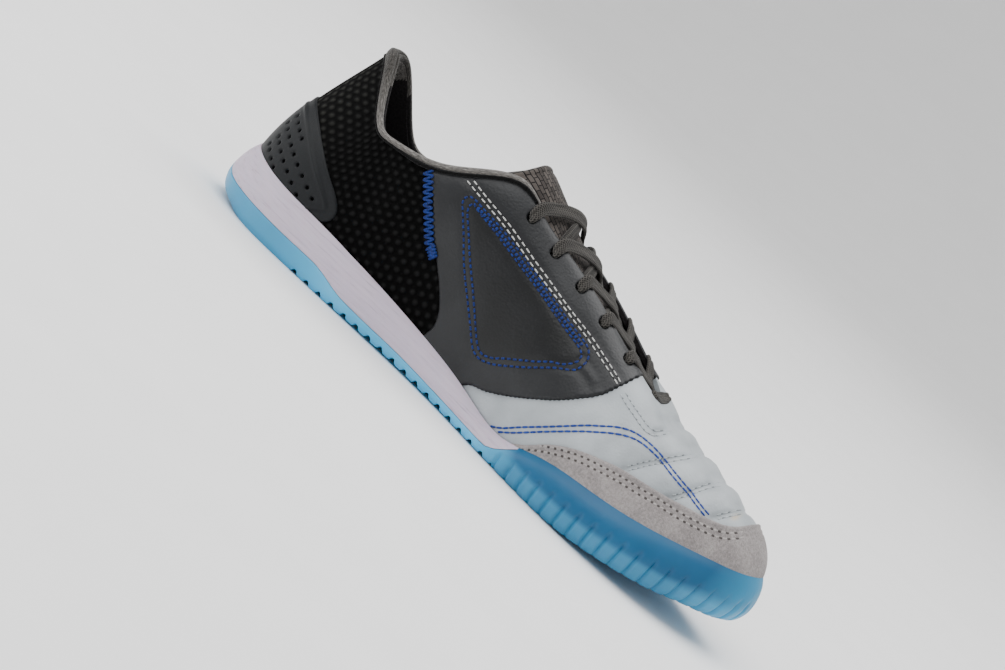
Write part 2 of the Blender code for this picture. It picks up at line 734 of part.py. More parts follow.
def wall_at(place):
    turns = np.linspace(0.0, 0.5, 200)
    edge = COLUMNS(turns)
    return np.interp(place, edge[:, 6], edge[:, 13])


def crest_height(place):
    return np.interp(place, [row.along for row in CREST], [row.height for row in CREST])


def roof_tree():
    """The instep's surface, carried over the throat above the tongue, to be looked up from above."""
    turns = np.linspace(SHARES[5], 0.4999, 100)
    rises = np.linspace(0.45, 1.0, 20)
    t = np.linspace(0.0, 1.0, 14)[1:-1, None]
    rows = []
    for turn in turns:
        medial, lateral = upper_point(turn, rises), upper_point(1.0 - turn, rises)[::-1]
        left, right = medial[-1], lateral[0]
        crest = crest_height(left[0]) + wall_at(left[0]) + TONGUE_CLEARANCE
        start, stop = left + (right - left) / 3, right + (left - right) / 3
        start[2] = stop[2] = (8 * crest - left[2] - right[2]) / 6
        bridge = left * (1 - t) ** 3 + start * 3 * t * (1 - t) ** 2 + stop * 3 * t**2 * (1 - t) + right * t**3
        rows.append(np.vstack([medial, bridge, lateral]))
    grid = np.array(rows)
    count = grid.shape[1]
    faces = []
    for r in range(len(rows) - 1):
        for c in range(count - 1):
            a = r * count + c
            faces.append((a, a + 1, a + count + 1, a + count))
    return BVHTree.FromPolygons([tuple(p) for p in grid.reshape(-1, 3)], faces)


def on_roof(tree, along, across, distance):
    """The instep's surface at this place in plan, moved outward by distance."""
    spot, normal, _, _ = tree.ray_cast(Vector((along, across, 1.0)), Vector((0.0, 0.0, -1.0)))
    return np.array(spot + normal * (distance if normal.z > 0 else -distance))


def throat_half_width(along):
    turns = np.linspace(SHARES[6], 0.5, 200)
    edge = COLUMNS(turns)
    return np.interp(along, edge[:, 6], np.abs(edge[:, 7]))


def build_tongue(tree, parts):
    """A padded tongue under the throat, from below the vamp to over the collar's front."""
    places = np.linspace(UPPER[-1].along + TONGUE_UNDER_VAMP, TONGUE_END, 15)
    shares = np.linspace(-1.0, 1.0, 11)
    rows = []
    for place in places:
        end = np.clip(1.0 - (place - TONGUE_END) / TONGUE_SHOULDER, 0.0, 1.0)
        tuck = TONGUE_TUCK * np.clip((place - TONGUE_END) / TONGUE_TUCK_RUN, 0.0, 1.0)
        half = throat_half_width(place) + tuck - TONGUE_GAP * end
        depth = -(wall_at(place) + TONGUE_CLEARANCE)
        line = [
            on_roof(tree, place - TONGUE_SWEEP * end * share**2, half * share, depth) for share in shares
        ]
        rows.append(np.array(line) + np.outer(shares**2, [0.0, 0.0, TONGUE_WINGS * end]))
    outer = np.array(rows)
    along = np.gradient(outer, axis=0)
    across = np.gradient(outer, axis=1)
    normal = np.cross(along, across)
    normal /= np.linalg.norm(normal, axis=-1)[..., None]
    normal *= np.sign(normal[..., 2:3])
    taper = np.sqrt(np.clip(1.04 - shares**2, 0.15, 1.0))[None, :, None]
    inner = outer - normal * TONGUE_THICK * taper
    return sheet_solid("tongue", outer, inner, parts)


def eyelet_spot(side, index):
    """Turn and rise of an eyelet: pair 0 is nearest the ankle."""
    place = L * (FIRST_EYELET + (LAST_EYELET - FIRST_EYELET) * index / (EYELET_PAIRS - 1))
    turns = np.linspace(SHARES[6], 0.4999, 300)
    rises = np.linspace(0.5, 1.0, 60)
    best = None
    for turn in turns:
        line = upper_point(turn, rises)
        length = np.append(0.0, np.cumsum(np.linalg.norm(np.diff(line[::-1], axis=0), axis=1)))
        rise = np.interp(EYELET_INSET, length, rises[::-1])
        miss = abs(upper_point(turn, rise)[0] - place)
        if best is None or miss < best[0]:
            best = (miss, turn, rise)
    turn = best[1] if side == "medial" else 1.0 - best[1]
    return turn, best[2]


def punch_eyelets(targets, cutters):
    """Round holes through the leather and the wall under it."""
    for side, sign in (("medial", -1), ("lateral", 1)):
        for index in range(EYELET_PAIRS):
            turn, rise = eyelet_spot(side, index)
            spot, normal = upper_point(turn, rise), upper_normal(turn, rise)
            made = bpy.data.meshes.new(f"eyelet_{side}_{index + 1}")
            work = bmesh.new()
            bmesh.ops.create_cone(
                work,
                cap_ends=True,
                segments=8,
                radius1=EYELET_RADIUS,
                radius2=EYELET_RADIUS,
                depth=4 * (WALL + OVERLAY),
            )
            work.to_mesh(made)
            work.free()
            punch = bpy.data.objects.new(made.name, made)
            punch.rotation_euler = Vector(normal).to_track_quat("Z", "Y").to_euler()
            punch.location = spot
            punch.hide_render = True
            punch.display_type = "WIRE"
            cutters.objects.link(punch)
            for target in targets[side]:
                boolean(target, punch, "DIFFERENCE")


def lace_path(tree, start, stop, count):
    """Middle line of a lace over the throat between two places in plan, and its outward directions."""
    start, stop = np.array(start), np.array(stop)
    centre, outward = [], []
    on_vamp = LACE_REST + LACE_THICK / 2
    on_tongue = LACE_REST + LACE_THICK / 2 - WALL - TONGUE_CLEARANCE
    for share in np.linspace(0.0, 1.0, count):
        place = start + (stop - start) * share
        room = throat_half_width(place[0]) - abs(place[1])
        sink = np.clip((room - LACE_SINK[0]) / (LACE_SINK[1] - LACE_SINK[0]), 0.0, 1.0)
        sink = sink * sink * (3 - 2 * sink)
        on_leather = on_vamp + (CLEARANCE + OVERLAY) * np.interp(place[0], QUARTER_END, [1.0, 0.0])
        height = on_leather + (on_tongue - on_leather) * sink
        spot = on_roof(tree, place[0], place[1], height)
        centre.append(spot)
        outward.append(spot - on_roof(tree, place[0], place[1], height - MM))
    outward = np.array(outward)
    return np.array(centre), outward / np.linalg.norm(outward, axis=-1)[:, None]


def lace_band(name, tree, start, stop, collection):
    """A flat band of lace along its path."""
    centre, outward = lace_path(tree, start, stop, 9)
    ahead = np.gradient(centre, axis=0)
    side = np.cross(outward, ahead)
    side /= np.linalg.norm(side, axis=-1)[:, None]
    half, thick = side * LACE_WIDTH / 2, outward * LACE_THICK / 2
    over = np.stack([centre + half + thick, centre - half + thick], 1)
    under = np.stack([centre + half - thick, centre - half - thick], 1)
    return sheet_solid(name, over, under, collection)


def eyelet_place(side, index):
    """Where a lace leaves its eyelet, in plan."""
    turn, rise = eyelet_spot(side, index)
    spot = upper_point(turn, rise)
    inward = np.array([0.0, -math.copysign(EYELET_RADIUS + LACE_WIDTH / 3, spot[1])])
    return spot[:2] + inward


def edge_place(start, following):
    """Where a lace that crosses the throat goes under its other edge, in plan."""
    along = start[0] + LACE_SLANT * (following[0] - start[0])
    return np.array([along, math.copysign(throat_half_width(along) - LACE_EDGE_GAP, following[1])])


def build_laces(tree, parts, cutters):
    """A crossing ahead of each pair of eyelets but the last, and a bar at the last pair."""
    medial = [eyelet_place("medial", index) for index in range(EYELET_PAIRS)]
    lateral = [eyelet_place("lateral", index) for index in range(EYELET_PAIRS)]
    made = []
    for index in range(EYELET_PAIRS - 1):
        name = f"lace_crossing_{index + 1}"
        end = edge_place(medial[index], lateral[index + 1])
        band = lace_band(name, tree, medial[index], end, parts)
        end = edge_place(lateral[index], medial[index + 1])
        other = lace_band(name + "_back", tree, lateral[index], end, cutters)
        other.hide_render = True
        other.display_type = "WIRE"
        boolean(band, other, "UNION")
        made.append(band)
    made.append(lace_band("lace_bar", tree, medial[-1], lateral[-1], parts))
    return made


def origin_empty(parts):
    """Carries every piece, so that the middle of the sole's outline stands on the origin."""
    points = COLUMNS(np.linspace(0.0, 1.0, 2000, endpoint=False))[:, :2]
    middle = (points.min(axis=0) + points.max(axis=0)) / 2
    empty = bpy.data.objects.new("shoe_origin", None)
    empty.location = (-middle[0], -middle[1], 0.0)
    parts.objects.link(empty)
    return empty


def build_shoe():
    clear_scene()
    parts = new_collection("indoor_soccer_shoe")
    cutters = new_collection("cutters")
    rubber = material("blue_rubber", (0.10, 0.42, 0.62), 0.35)
    foam = material("white_foam", (0.80, 0.76, 0.80), 0.55)
    sockliner = material("grey_sockliner", (0.10, 0.10, 0.11), 0.9)
    knit = material("black_mesh", (0.012, 0.012, 0.013), 0.85)
    leather = material("dark_grey_leather", (0.062, 0.066, 0.070), 0.45)
    suede = material("pale_grey_suede", (0.46, 0.44, 0.43), 0.95)
    moulding = material("slate_moulding", (0.045, 0.050, 0.056), 0.5)
    fabric = material("grey_fabric", (0.12, 0.11, 0.105), 0.9)
    cord = material("charcoal_lace", (0.045, 0.045, 0.045), 0.8)

    outsole, midsole = build_sole(parts, cutters)
    upper = build_upper(parts)
    quarters = {side: build_quarter(side, parts, cutters) for side in ("medial", "lateral")}
    punch_eyelets({side: [upper, quarters[side]] for side in quarters}, cutters)
    tree = roof_tree()
    finished = [
        (outsole, rubber),
        (midsole, foam),
        (build_insole(parts), sockliner),
        (upper, knit),
        (quarters["medial"], leather),
        (quarters["lateral"], leather),
        (build_heel_counter(parts, cutters), moulding),
        (build_toe_guard(parts, cutters), suede),
        (build_binding(parts), fabric),
        (build_tongue(tree, parts), fabric),
    ]
    finished += [(piece, cord) for piece in build_laces(tree, parts, cutters)]
    carrier = origin_empty(parts)
    for piece, finish in finished:
        piece.data.materials.append(finish)
        piece.parent = carrier
    for cutter in cutters.objects:
        cutter.parent = carrier


build_shoe()
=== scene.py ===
# %% [markdown]
# # An indoor soccer shoe, dressed
# The plain solids of a left shoe come in first, as a fixed frame. Every cell after that
# models one visible piece over them, or mixes one finish, as a shoemaker would: sole,
# upper, overlays, tongue, laces and thread. A last cell sets the light and the camera.

# %% Load the solid shoe
import math

import bmesh
import bpy
import numpy as np
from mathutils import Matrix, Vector
from mathutils.bvhtree import BVHTree


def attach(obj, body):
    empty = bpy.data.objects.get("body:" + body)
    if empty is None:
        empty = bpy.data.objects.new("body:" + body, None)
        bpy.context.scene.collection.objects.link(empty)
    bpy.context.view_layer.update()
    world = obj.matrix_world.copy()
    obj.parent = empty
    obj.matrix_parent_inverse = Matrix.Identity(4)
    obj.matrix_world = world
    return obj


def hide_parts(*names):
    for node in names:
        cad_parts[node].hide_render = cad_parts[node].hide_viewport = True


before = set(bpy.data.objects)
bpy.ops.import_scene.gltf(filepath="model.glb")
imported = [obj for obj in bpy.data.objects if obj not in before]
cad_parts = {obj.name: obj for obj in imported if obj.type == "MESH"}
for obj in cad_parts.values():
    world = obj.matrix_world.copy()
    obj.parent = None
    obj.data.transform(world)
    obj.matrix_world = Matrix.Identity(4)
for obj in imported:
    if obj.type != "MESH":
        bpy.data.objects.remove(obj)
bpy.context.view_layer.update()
MM = 0.001
print("solids:", len(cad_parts))

# %% [markdown]
# The camera comes next, because everything is judged through it. It looks from the
# medial side, a little toward the toe and from above. The shoe stands level here and
# slants in the picture, so the camera is rolled instead of the shoe.

# %% Camera
PICTURE_WIDTH = 1005
FOCAL_PIXELS = 3343.8
CAMERA_DISTANCE = 1.4
TOWARD_TOE, ABOVE, ROLL = (math.radians(a) for a in (12.0, 8.0, 41.49))
AIM = Vector((0.0, 0.0, 45 * MM))
AIM_PIXELS = (28.49, 0.87)


def place_camera():
    """Adds the camera, rolled, with the aim a few pixels off the picture's middle."""
    level = Vector((math.sin(TOWARD_TOE), -math.cos(TOWARD_TOE), 0.0))
    way = level * math.cos(ABOVE) + Vector((0.0, 0.0, math.sin(ABOVE)))
    right = (-way).cross(Vector((0, 0, 1))).normalized()
    up = right.cross(-way)
    across = math.cos(ROLL) * right + math.sin(ROLL) * up
    upright = -math.sin(ROLL) * right + math.cos(ROLL) * up
    back = (way * FOCAL_PIXELS + across * AIM_PIXELS[0] + upright * AIM_PIXELS[1]).normalized()
    across = (across - across.dot(back) * back).normalized()
    bpy.ops.object.camera_add(location=AIM + way * CAMERA_DISTANCE)
    camera = bpy.context.object
    turned = camera.matrix_world.copy()
    for axis, vector in enumerate((across, back.cross(across), back)):
        for row in range(3):
            turned[row][axis] = vector[row]
    camera.matrix_world = turned
    camera.data.sensor_width = 36.0
    camera.data.lens = FOCAL_PIXELS * 36.0 / PICTURE_WIDTH
    bpy.context.scene.camera = camera
    return camera


print("camera height, mm:", round(place_camera().location.z / MM))

# %% [markdown]
# A shoe is built on a last, and its sizes are tables along that last. These repeat the
# solid model's tables, in millimetres, so that each new piece lies exactly on it.

# %% Sizes of the last and sole
SOLE = [  # along, medial, lateral, spring, stack, side, roll
    (0.00, 0.00, 0.00, 0.00, 16.00, 27.00, 9.0),
    (7.01, 20.00, 20.00, 0.00, 16.00, 25.65, 9.0),
    (26.28, 33.14, 33.58, 0.00, 16.00, 23.76, 3.0),
    (51.10, 36.50, 37.01, 0.00, 15.68, 23.22, 3.0),
    (71.54, 35.77, 37.81, 0.00, 15.04, 22.14, 3.0),
    (89.06, 34.75, 38.84, 0.68, 14.08, 20.25, 3.0),
    (103.66, 34.02, 40.15, 0.95, 13.12, 18.63, 3.0),
    (121.18, 33.70, 42.12, 0.95, 11.84, 16.74, 3.0),
    (146.00, 36.50, 47.11, 0.54, 10.00, 13.50, 3.0),
    (172.28, 43.37, 50.86, 0.00, 8.48, 11.27, 3.0),
    (192.14, 48.57, 51.79, 0.00, 8.00, 17.39, 3.0),
    (214.91, 51.79, 50.34, 0.81, 8.00, 20.82, 3.0),
    (237.98, 50.75, 45.03, 3.78, 8.00, 21.56, 3.0),
    (259.88, 43.78, 35.15, 7.69, 8.00, 22.54, 3.0),
    (277.98, 31.20, 22.26, 10.94, 8.00, 23.52, 7.0),
    (289.08, 18.51, 8.11, 12.96, 8.00, 24.26, 7.0),
    (292.00, 5.20, -5.20, 13.50, 8.00, 24.50, 7.0),
]
UPPER = [  # along, across, height, drop, rise, flare, reach, fall, wall, binding
    (19.86, 0.00, 92.50, 0.00, 26, 6.0, 5, 20, 5.0, 2.80),
    (25.40, 12.56, 89.91, 0.20, 24, 5.5, 5, 20, 5.0, 2.80),
    (41.76, 27.01, 70.86, 3.00, 20, 3.5, 4, 18, 5.0, 2.80),
    (56.94, 31.54, 67.71, 4.00, 18, 3.0, 3, 16, 5.0, 2.80),
    (75.92, 31.02, 71.89, 4.00, 20, 3.0, 5, 16, 5.0, 4.40),
    (92.86, 29.20, 82.81, 3.00, 24, 4.0, 7, 16, 4.0, 5.40),
    (106.29, 26.28, 90.82, 1.50, 28, 5.0, 10, 14, 3.0, 3.61),
    (121.47, 23.50, 87.91, 0.50, 28, 6.0, 12, 11, 2.0, 1.60),
    (141.33, 21.53, 82.81, 0.00, 26, 5.5, 13, 10, 2.0, 1.01),
    (159.43, 19.76, 77.99, 0.00, 24, 5.0, 14, 8, 2.0, 1.01),
    (173.74, 17.89, 73.25, 0.00, 23, 4.5, 15, 7, 2.0, 1.01),
    (186.88, 15.60, 68.62, 0.00, 23, 4.0, 18, 6, 2.0, 1.01),
    (195.06, 13.10, 66.00, 0.00, 24, 4.0, 23, 5, 2.0, 1.01),
    (200.02, 10.19, 63.74, 0.00, 26, 4.5, 30, 5, 2.0, 1.01),
    (203.23, 6.86, 62.22, 0.00, 31, 6.0, 38, 6, 2.0, 1.01),
    (204.98, 3.12, 61.30, 0.00, 35, 8.5, 42, 6, 2.0, 1.01),
    (205.57, 0.00, 61.00, 0.00, 36, 9.0, 43, 6, 2.0, 1.01),
]
FEATHER_INSET = 6.5 * MM
WALL = 2.0 * MM
GAP = 0.3 * MM
LEAN = 30 * MM
ROUND_LENGTH = 640.0  # about how far it is round the shoe, in millimetres
print("stations:", len(SOLE))

# %% [markdown]
# One smooth closed curve runs through the stations, round the heel on the camera's side
# to the toe and back. A turn of 0 is the heel, and 0.5 is the toe. Up the side, a rise
# of 0 is the sole and 1 is the edge of the collar or throat.

# %% The last as a function


def closed_spline(shares, rows):
    """Gives a function for the smooth closed curve through rows at their shares of a turn."""
    count = len(shares)
    knots = np.append(shares, shares[0] + 1.0)
    values = np.vstack([rows, rows[:1]])
    gap = np.diff(knots)
    slope = np.diff(values, axis=0) / gap[:, None]
    matrix = np.zeros((count, count))
    right = np.zeros((count, values.shape[1]))
    for i in range(count):
        matrix[i, i - 1] += gap[i - 1]
        matrix[i, i] += 2.0 * (gap[i - 1] + gap[i])
        matrix[i, (i + 1) % count] += gap[i]
        right[i] = 6.0 * (slope[i] - slope[i - 1])
    bend = np.linalg.solve(matrix, right)
    bend = np.vstack([bend, bend[:1]])

    def at(turn):
        turn = np.asarray(turn, float) % 1.0
        i = np.clip(np.searchsorted(knots, turn, side="right") - 1, 0, count - 1)
        step = gap[i][..., None]
        a, b = (knots[i + 1] - turn)[..., None], (turn - knots[i])[..., None]
        line = (values[i] / step - bend[i] * step / 6.0) * a
        line += (values[i + 1] / step - bend[i + 1] * step / 6.0) * b
        return line + (bend[i] * a**3 + bend[i + 1] * b**3) / (6.0 * step)

    return at


def side_stations(sign):
    """All sizes of one side in metres: -1 is the medial side, and 1 the lateral."""
    sole, upper = np.array(SOLE), np.array(UPPER)
    across = -sole[:, 1] if sign < 0 else sole[:, 2]
    height = upper[:, 2] - (upper[:, 3] if sign > 0 else 0.0)
    table = [sole[:, 0], across, *sole[:, 3:].T, upper[:, 0], sign * upper[:, 1], height, *upper[:, 4:].T]
    return np.column_stack(table) * MM


def side_shares(sign):
    """Each station's share of a turn, by its distance along one side."""
    steps = np.hypot(*np.diff(side_stations(sign)[:, :2], axis=0).T)
    return 0.5 * np.append(0.0, np.cumsum(steps)) / steps.sum()


SHARES = (side_shares(-1) + side_shares(1)) / 2.0
RAW = closed_spline(
    np.append(SHARES, 1.0 - SHARES[-2:0:-1]), np.vstack([side_stations(-1), side_stations(1)[-2:0:-1]])
)
ROUND = RAW(np.linspace(0.0, 1.0, 2000, endpoint=False))[:, :2]
MIDDLE = (ROUND.min(axis=0) + ROUND.max(axis=0)) / 2.0
SHIFT = np.zeros(15)
SHIFT[[0, 1, 6, 7]] = [*MIDDLE, *MIDDLE]


def last(turn):
    """Every size of the shoe at this turn, with the origin under the middle of the sole."""
    return RAW(turn) - SHIFT


def outline(turn):
    """The sole's widest outline in plan, and the way that points out of it."""
    ahead = last(np.asarray(turn) + 1e-4)[..., :2] - last(np.asarray(turn) - 1e-4)[..., :2]
    ahead /= np.linalg.norm(ahead, axis=-1)[..., None]
    return last(turn)[..., :2], np.stack([ahead[..., 1], -ahead[..., 0]], -1)


def tread(turn):
    """Height of the sole's underside, which springs up at the toe and under the shank."""
    return np.maximum(last(turn)[..., 2] - 0.04 * MM, 0.0)


def surface(turn, rise):
    """A point of the upper's outer face."""
    turn, rise = np.broadcast_arrays(np.asarray(turn, float), np.asarray(rise, float))
    sizes = last(turn)
    edge, outward = outline(turn)
    floor = tread(turn) + sizes[..., 3] + GAP
    bottom = np.concatenate([edge - outward * FEATHER_INSET, floor[..., None]], -1)
    top = sizes[..., 6:9]
    out = np.concatenate([outward, np.zeros(turn.shape + (1,))], -1)
    up = np.array([0.0, 0.0, 1.0])
    toward = bottom - top
    toward[..., 2] = 0.0
    toward += out * LEAN
    toward /= np.linalg.norm(toward, axis=-1)[..., None]
    low = bottom + up * sizes[..., 9:10] + out * sizes[..., 10:11]
    high = top + toward * sizes[..., 11:12] - up * sizes[..., 12:13]
    t = rise[..., None]
    return bottom * (1 - t) ** 3 + low * 3 * t * (1 - t) ** 2 + high * 3 * t**2 * (1 - t) + top * t**3


def surface_normal(turn, rise):
    """The way outwards from the upper's outer face."""
    low, high = np.maximum(np.asarray(rise) - 1e-4, 0.0), np.minimum(np.asarray(rise) + 1e-4, 1.0)
    round_it = surface(np.asarray(turn) + 1e-4, rise) - surface(np.asarray(turn) - 1e-4, rise)
    normal = np.cross(round_it, surface(turn, high) - surface(turn, low))
    return normal / np.linalg.norm(normal, axis=-1)[..., None]


def lifted(turn, rise, lift):
    """A point that stands off the upper's outer face by lift."""
    return surface(turn, rise) + surface_normal(turn, rise) * np.asarray(lift)[..., None]


def wall(turn, rise):
    """The wall's thickness: thin at the sole, padded at the collar."""
    blend = np.clip((np.asarray(rise) - 0.35) / 0.5, 0.0, 1.0)
    return WALL + (last(turn)[..., 13] - WALL) * blend * blend * (3 - 2 * blend)


def rise_at(turn, height):
    """The rise at which the upper is this high over the floor."""
    low, high = np.zeros_like(turn), np.full_like(turn, 0.6)
    for _ in range(24):
        middle = (low + high) / 2
        below = surface(turn, middle)[..., 2] < height
        low, high = np.where(below, middle, low), np.where(below, high, middle)
    return (low + high) / 2


def turn_at(along):
    """The medial side's turn where the sole's outline is this many millimetres from the heel."""
    turns = np.linspace(0.0, 0.5, 600)
    return float(np.interp(along * MM - MIDDLE[0], last(turns)[:, 0], turns))


print("outline, mm:", np.round(np.ptp(ROUND, axis=0) / MM, 1))

# %% [markdown]
# Lines for seams and panel edges are drawn as seen from the side, in millimetres from the
# back of the heel and from the floor. A smooth line through a few points is enough.

# %% Lines on the side of the shoe


def smooth_line(points, step):
    """A smooth line through points, with one point about every step."""
    p = np.asarray(points, float)
    p = np.vstack([2 * p[0] - p[1], p, 2 * p[-1] - p[-2]])
    line = []
    for p0, p1, p2, p3 in zip(p, p[1:], p[2:], p[3:]):
        count = max(2, math.ceil(np.linalg.norm(p2 - p1) / step))
        t = np.linspace(0.0, 1.0, count, endpoint=False)[:, None]
        bend, twist = 2 * p0 - 5 * p1 + 4 * p2 - p3, 3 * p1 - p0 - 3 * p2 + p3
        line.append(0.5 * (2 * p1 + (p2 - p0) * t + bend * t**2 + twist * t**3))
    return np.vstack(line + [p[-2:-1]])


def evenly(line, step):
    """The same line with its points an even step apart."""
    length = np.append(0.0, np.cumsum(np.linalg.norm(np.diff(line, axis=0), axis=1)))
    places = np.linspace(0.0, length[-1], max(2, round(length[-1] / step) + 1))
    return np.column_stack([np.interp(places, length, axis) for axis in line.T])


def side_view(points, step=1.0):
    """A smooth line through points given in millimetres, in metres from the origin."""
    return (smooth_line(points, step) - [MIDDLE[0] / MM, 0.0]) * MM


def inside(polygon, x, z):
    """Distance to a closed outline seen from the side, above zero inside it."""
    nearest = np.full(x.shape, np.inf)
    within = np.zeros(x.shape, bool)
    for (ax, az), (bx, bz) in zip(polygon, np.roll(polygon, -1, axis=0)):
        dx, dz = bx - ax, bz - az
        t = np.clip(((x - ax) * dx + (z - az) * dz) / (dx * dx + dz * dz + 1e-18), 0.0, 1.0)
        nearest = np.minimum(nearest, np.hypot(x - ax - t * dx, z - az - t * dz))
        if az != bz:
            within ^= ((az > z) != (bz > z)) & (x < ax + (z - az) * dx / dz)
    return np.where(within, nearest, -nearest)


def line_distance(line, x, z):
    """Distance to an open line seen from the side."""
    nearest = np.full(x.shape, np.inf)
    for (ax, az), (bx, bz) in zip(line, line[1:]):
        dx, dz = bx - ax, bz - az
        t = np.clip(((x - ax) * dx + (z - az) * dz) / (dx * dx + dz * dz + 1e-18), 0.0, 1.0)
        nearest = np.minimum(nearest, np.hypot(x - ax - t * dx, z - az - t * dz))
    return nearest


COUNTER_EDGE = side_view([
    (-9, 60.1), (9.9, 57.5), (21, 53.1), (31.5, 47.3), (42.6, 41), (51.4, 36.2), (56.1, 32.2), (57.2, 28.2),
    (55.5, 24.6), (50.2, 21),
])
QUARTER_BACK = side_view([
    (59.9, 81.9), (74.5, 70.8), (84.4, 62.4), (93.7, 52.5), (107.2, 40.8), (114.8, 32.9), (118.3, 27.3),
    (119.1, 22.8), (118, 16),
])
QUARTER_FRONT = side_view([
    (143.4, 12), (147.8, 16.7), (155.1, 19.7), (162.6, 24.2), (170.5, 29.8), (180.5, 38), (187.8, 45.8),
    (192.1, 51.6), (194.2, 57.4), (195.3, 61.9), (195.9, 69.2), (195.9, 81.9),
])
GUARD_EDGE = side_view([
    (172, 5), (176.1, 10.5), (183.7, 16.4), (192.1, 24.2), (202.1, 30.3), (211.7, 33.9), (221, 36.6),
    (230.7, 38.3), (239.5, 39.9), (248.5, 41.8), (257.3, 43.7), (264, 46), (268.2, 49.4), (270.2, 54),
    (270.4, 66),
])
print("edge points:", len(COUNTER_EDGE) + len(QUARTER_BACK) + len(QUARTER_FRONT) + len(GUARD_EDGE))

# %% [markdown]
# Leather is cut flat and then pulled over the last. A panel could be wrapped on with a
# Shrinkwrap modifier, but its cut edge would wander. So the shoemaker's way is followed: a
# flat grid whose axes are turn and rise is trimmed along a panel's edge, extruded into a
# slab, and then each vertex is moved to its place on the shoe.

# %% Tools for cutting and lasting


def select_only(piece):
    """Deselects everything, because an operator acts on all that is selected, and picks one piece."""
    bpy.ops.object.select_all(action="DESELECT")
    piece.select_set(True)
    bpy.context.view_layer.objects.active = piece


def coordinates(piece):
    """Every vertex of a piece, one row each."""
    found = np.empty(len(piece.data.vertices) * 3)
    piece.data.vertices.foreach_get("co", found)
    return found.reshape(-1, 3)


def put_vertices(piece, points):
    """Moves every vertex of a piece to its own point."""
    piece.data.vertices.foreach_set("co", np.asarray(points, float).ravel())
    piece.data.update()


def flat_grid(name, grid):
    """A grid primitive with its vertices put on a grid of points."""
    rows, columns = grid.shape[:2]
    bpy.ops.mesh.primitive_grid_add(x_subdivisions=columns - 1, y_subdivisions=rows - 1, size=1.0)
    piece = bpy.context.object
    piece.name = piece.data.name = name
    put_vertices(piece, grid.reshape(-1, 3))
    return piece


def pattern(name, turns, rises):
    """A flat piece of leather, before it is cut and lasted."""
    across, up = np.meshgrid(turns, rises)
    return flat_grid(name, np.stack([across, up, np.zeros_like(up)], -1))


SNAP_SHARE = 0.12  # a corner this near the cut, as a share of its edge, is moved onto it


def trim(piece, distance):
    """Cuts a flat piece along the line where distance is zero, and keeps what is above it."""
    flat = coordinates(piece)
    values = distance(flat[:, 0], flat[:, 1])
    work = bmesh.new()
    work.from_mesh(piece.data)
    work.verts.ensure_lookup_table()
    value = work.verts.layers.float.new("distance")
    for vert, number in zip(work.verts, values):
        vert[value] = number / MM
    for edge in [e for e in work.edges if e.verts[0][value] * e.verts[1][value] < 0.0]:
        a, b = edge.verts
        if a[value] * b[value] >= 0.0:
            continue
        share = a[value] / (a[value] - b[value])
        near = a if share < SNAP_SHARE else b if share > 1.0 - SNAP_SHARE else None
        if near:
            near.co = a.co.lerp(b.co, share)
            near[value] = 0.0
    for edge in [e for e in work.edges if e.verts[0][value] * e.verts[1][value] < 0.0]:
        a, b = edge.verts
        _, made = bmesh.utils.edge_split(edge, a, a[value] / (a[value] - b[value]))
        made[value] = 0.0
    for face in list(work.faces):
        signs = [v[value] for v in face.verts]
        on_line = [v for v in face.verts if v[value] == 0.0]
        if len(on_line) == 2 and min(signs) < 0.0 < max(signs):
            bmesh.utils.face_split(face, *on_line)
    lost = [f for f in work.faces if sum(v[value] for v in f.verts) < 0.0]
    bmesh.ops.delete(work, geom=lost, context="FACES")
    work.verts.layers.float.remove(value)
    work.to_mesh(piece.data)
    work.free()


def slab(piece):
    """Gives a flat piece a second layer, one unit above the first."""
    select_only(piece)
    bpy.ops.object.mode_set(mode="EDIT")
    bpy.ops.mesh.select_all(action="SELECT")
    bpy.ops.mesh.extrude_region_move(TRANSFORM_OT_translate={"value": (0.0, 0.0, 1.0)})
    bpy.ops.object.mode_set(mode="OBJECT")


def flush(turn, rise):
    """The underside of an overlay: just clear of the skin."""
    return 0.02 * MM + 0.0 * turn


def edge_distance(outline_points):
    """Gives a function for how far inside a panel's outline a place of the upper is."""

    def from_edge(turn, rise):
        points = surface(turn, rise)
        return inside(outline_points, points[..., 0], points[..., 2])

    return from_edge


def pull_over(piece, under, over):
    """Lasts a slab: under and over give how far its two layers stand off the upper."""
    turn, rise, layer = coordinates(piece).T
    add_map(piece, turn, rise)
    lift = np.where(layer > 0.5, over(turn, rise), under(turn, rise))
    put_vertices(piece, lifted(turn, rise, lift))
    face_outwards(piece)


def set_map(piece, spread):
    """Writes a UV map in millimetres from one place per vertex."""
    layer = piece.data.uv_layers.active or piece.data.uv_layers.new()
    layer.name = "millimetres"
    corner = np.empty(len(piece.data.loops), np.int32)
    piece.data.loops.foreach_get("vertex_index", corner)
    layer.data.foreach_set("uv", spread[corner].ravel().astype(np.float32))


def add_map(piece, turn, rise):
    """A UV map along the shoe and up its side."""
    up_length = np.linalg.norm(surface(turn, 0.9) - surface(turn, 0.1), axis=-1) / 0.8
    set_map(piece, np.column_stack([turn * ROUND_LENGTH, rise * up_length / MM]))


def set_tone(piece, values):
    """Stores a share from 0 to 1 on each vertex, which the piece's material reads."""
    layer = piece.data.attributes.new("tone", "FLOAT", "POINT")
    layer.data.foreach_set("value", np.clip(values, 0.0, 1.0).astype(np.float32))


def face_outwards(piece):
    """Turns every face outwards and smooths all but sharp edges."""
    select_only(piece)
    bpy.ops.object.mode_set(mode="EDIT")
    bpy.ops.mesh.select_all(action="SELECT")
    bpy.ops.mesh.normals_make_consistent(inside=False)
    bpy.ops.object.mode_set(mode="OBJECT")
    bpy.ops.object.shade_smooth_by_angle(angle=math.radians(50))


def run_of(line):
    """How far along a line each of its points is."""
    return np.append(0.0, np.cumsum(np.linalg.norm(np.diff(line, axis=0), axis=1)))


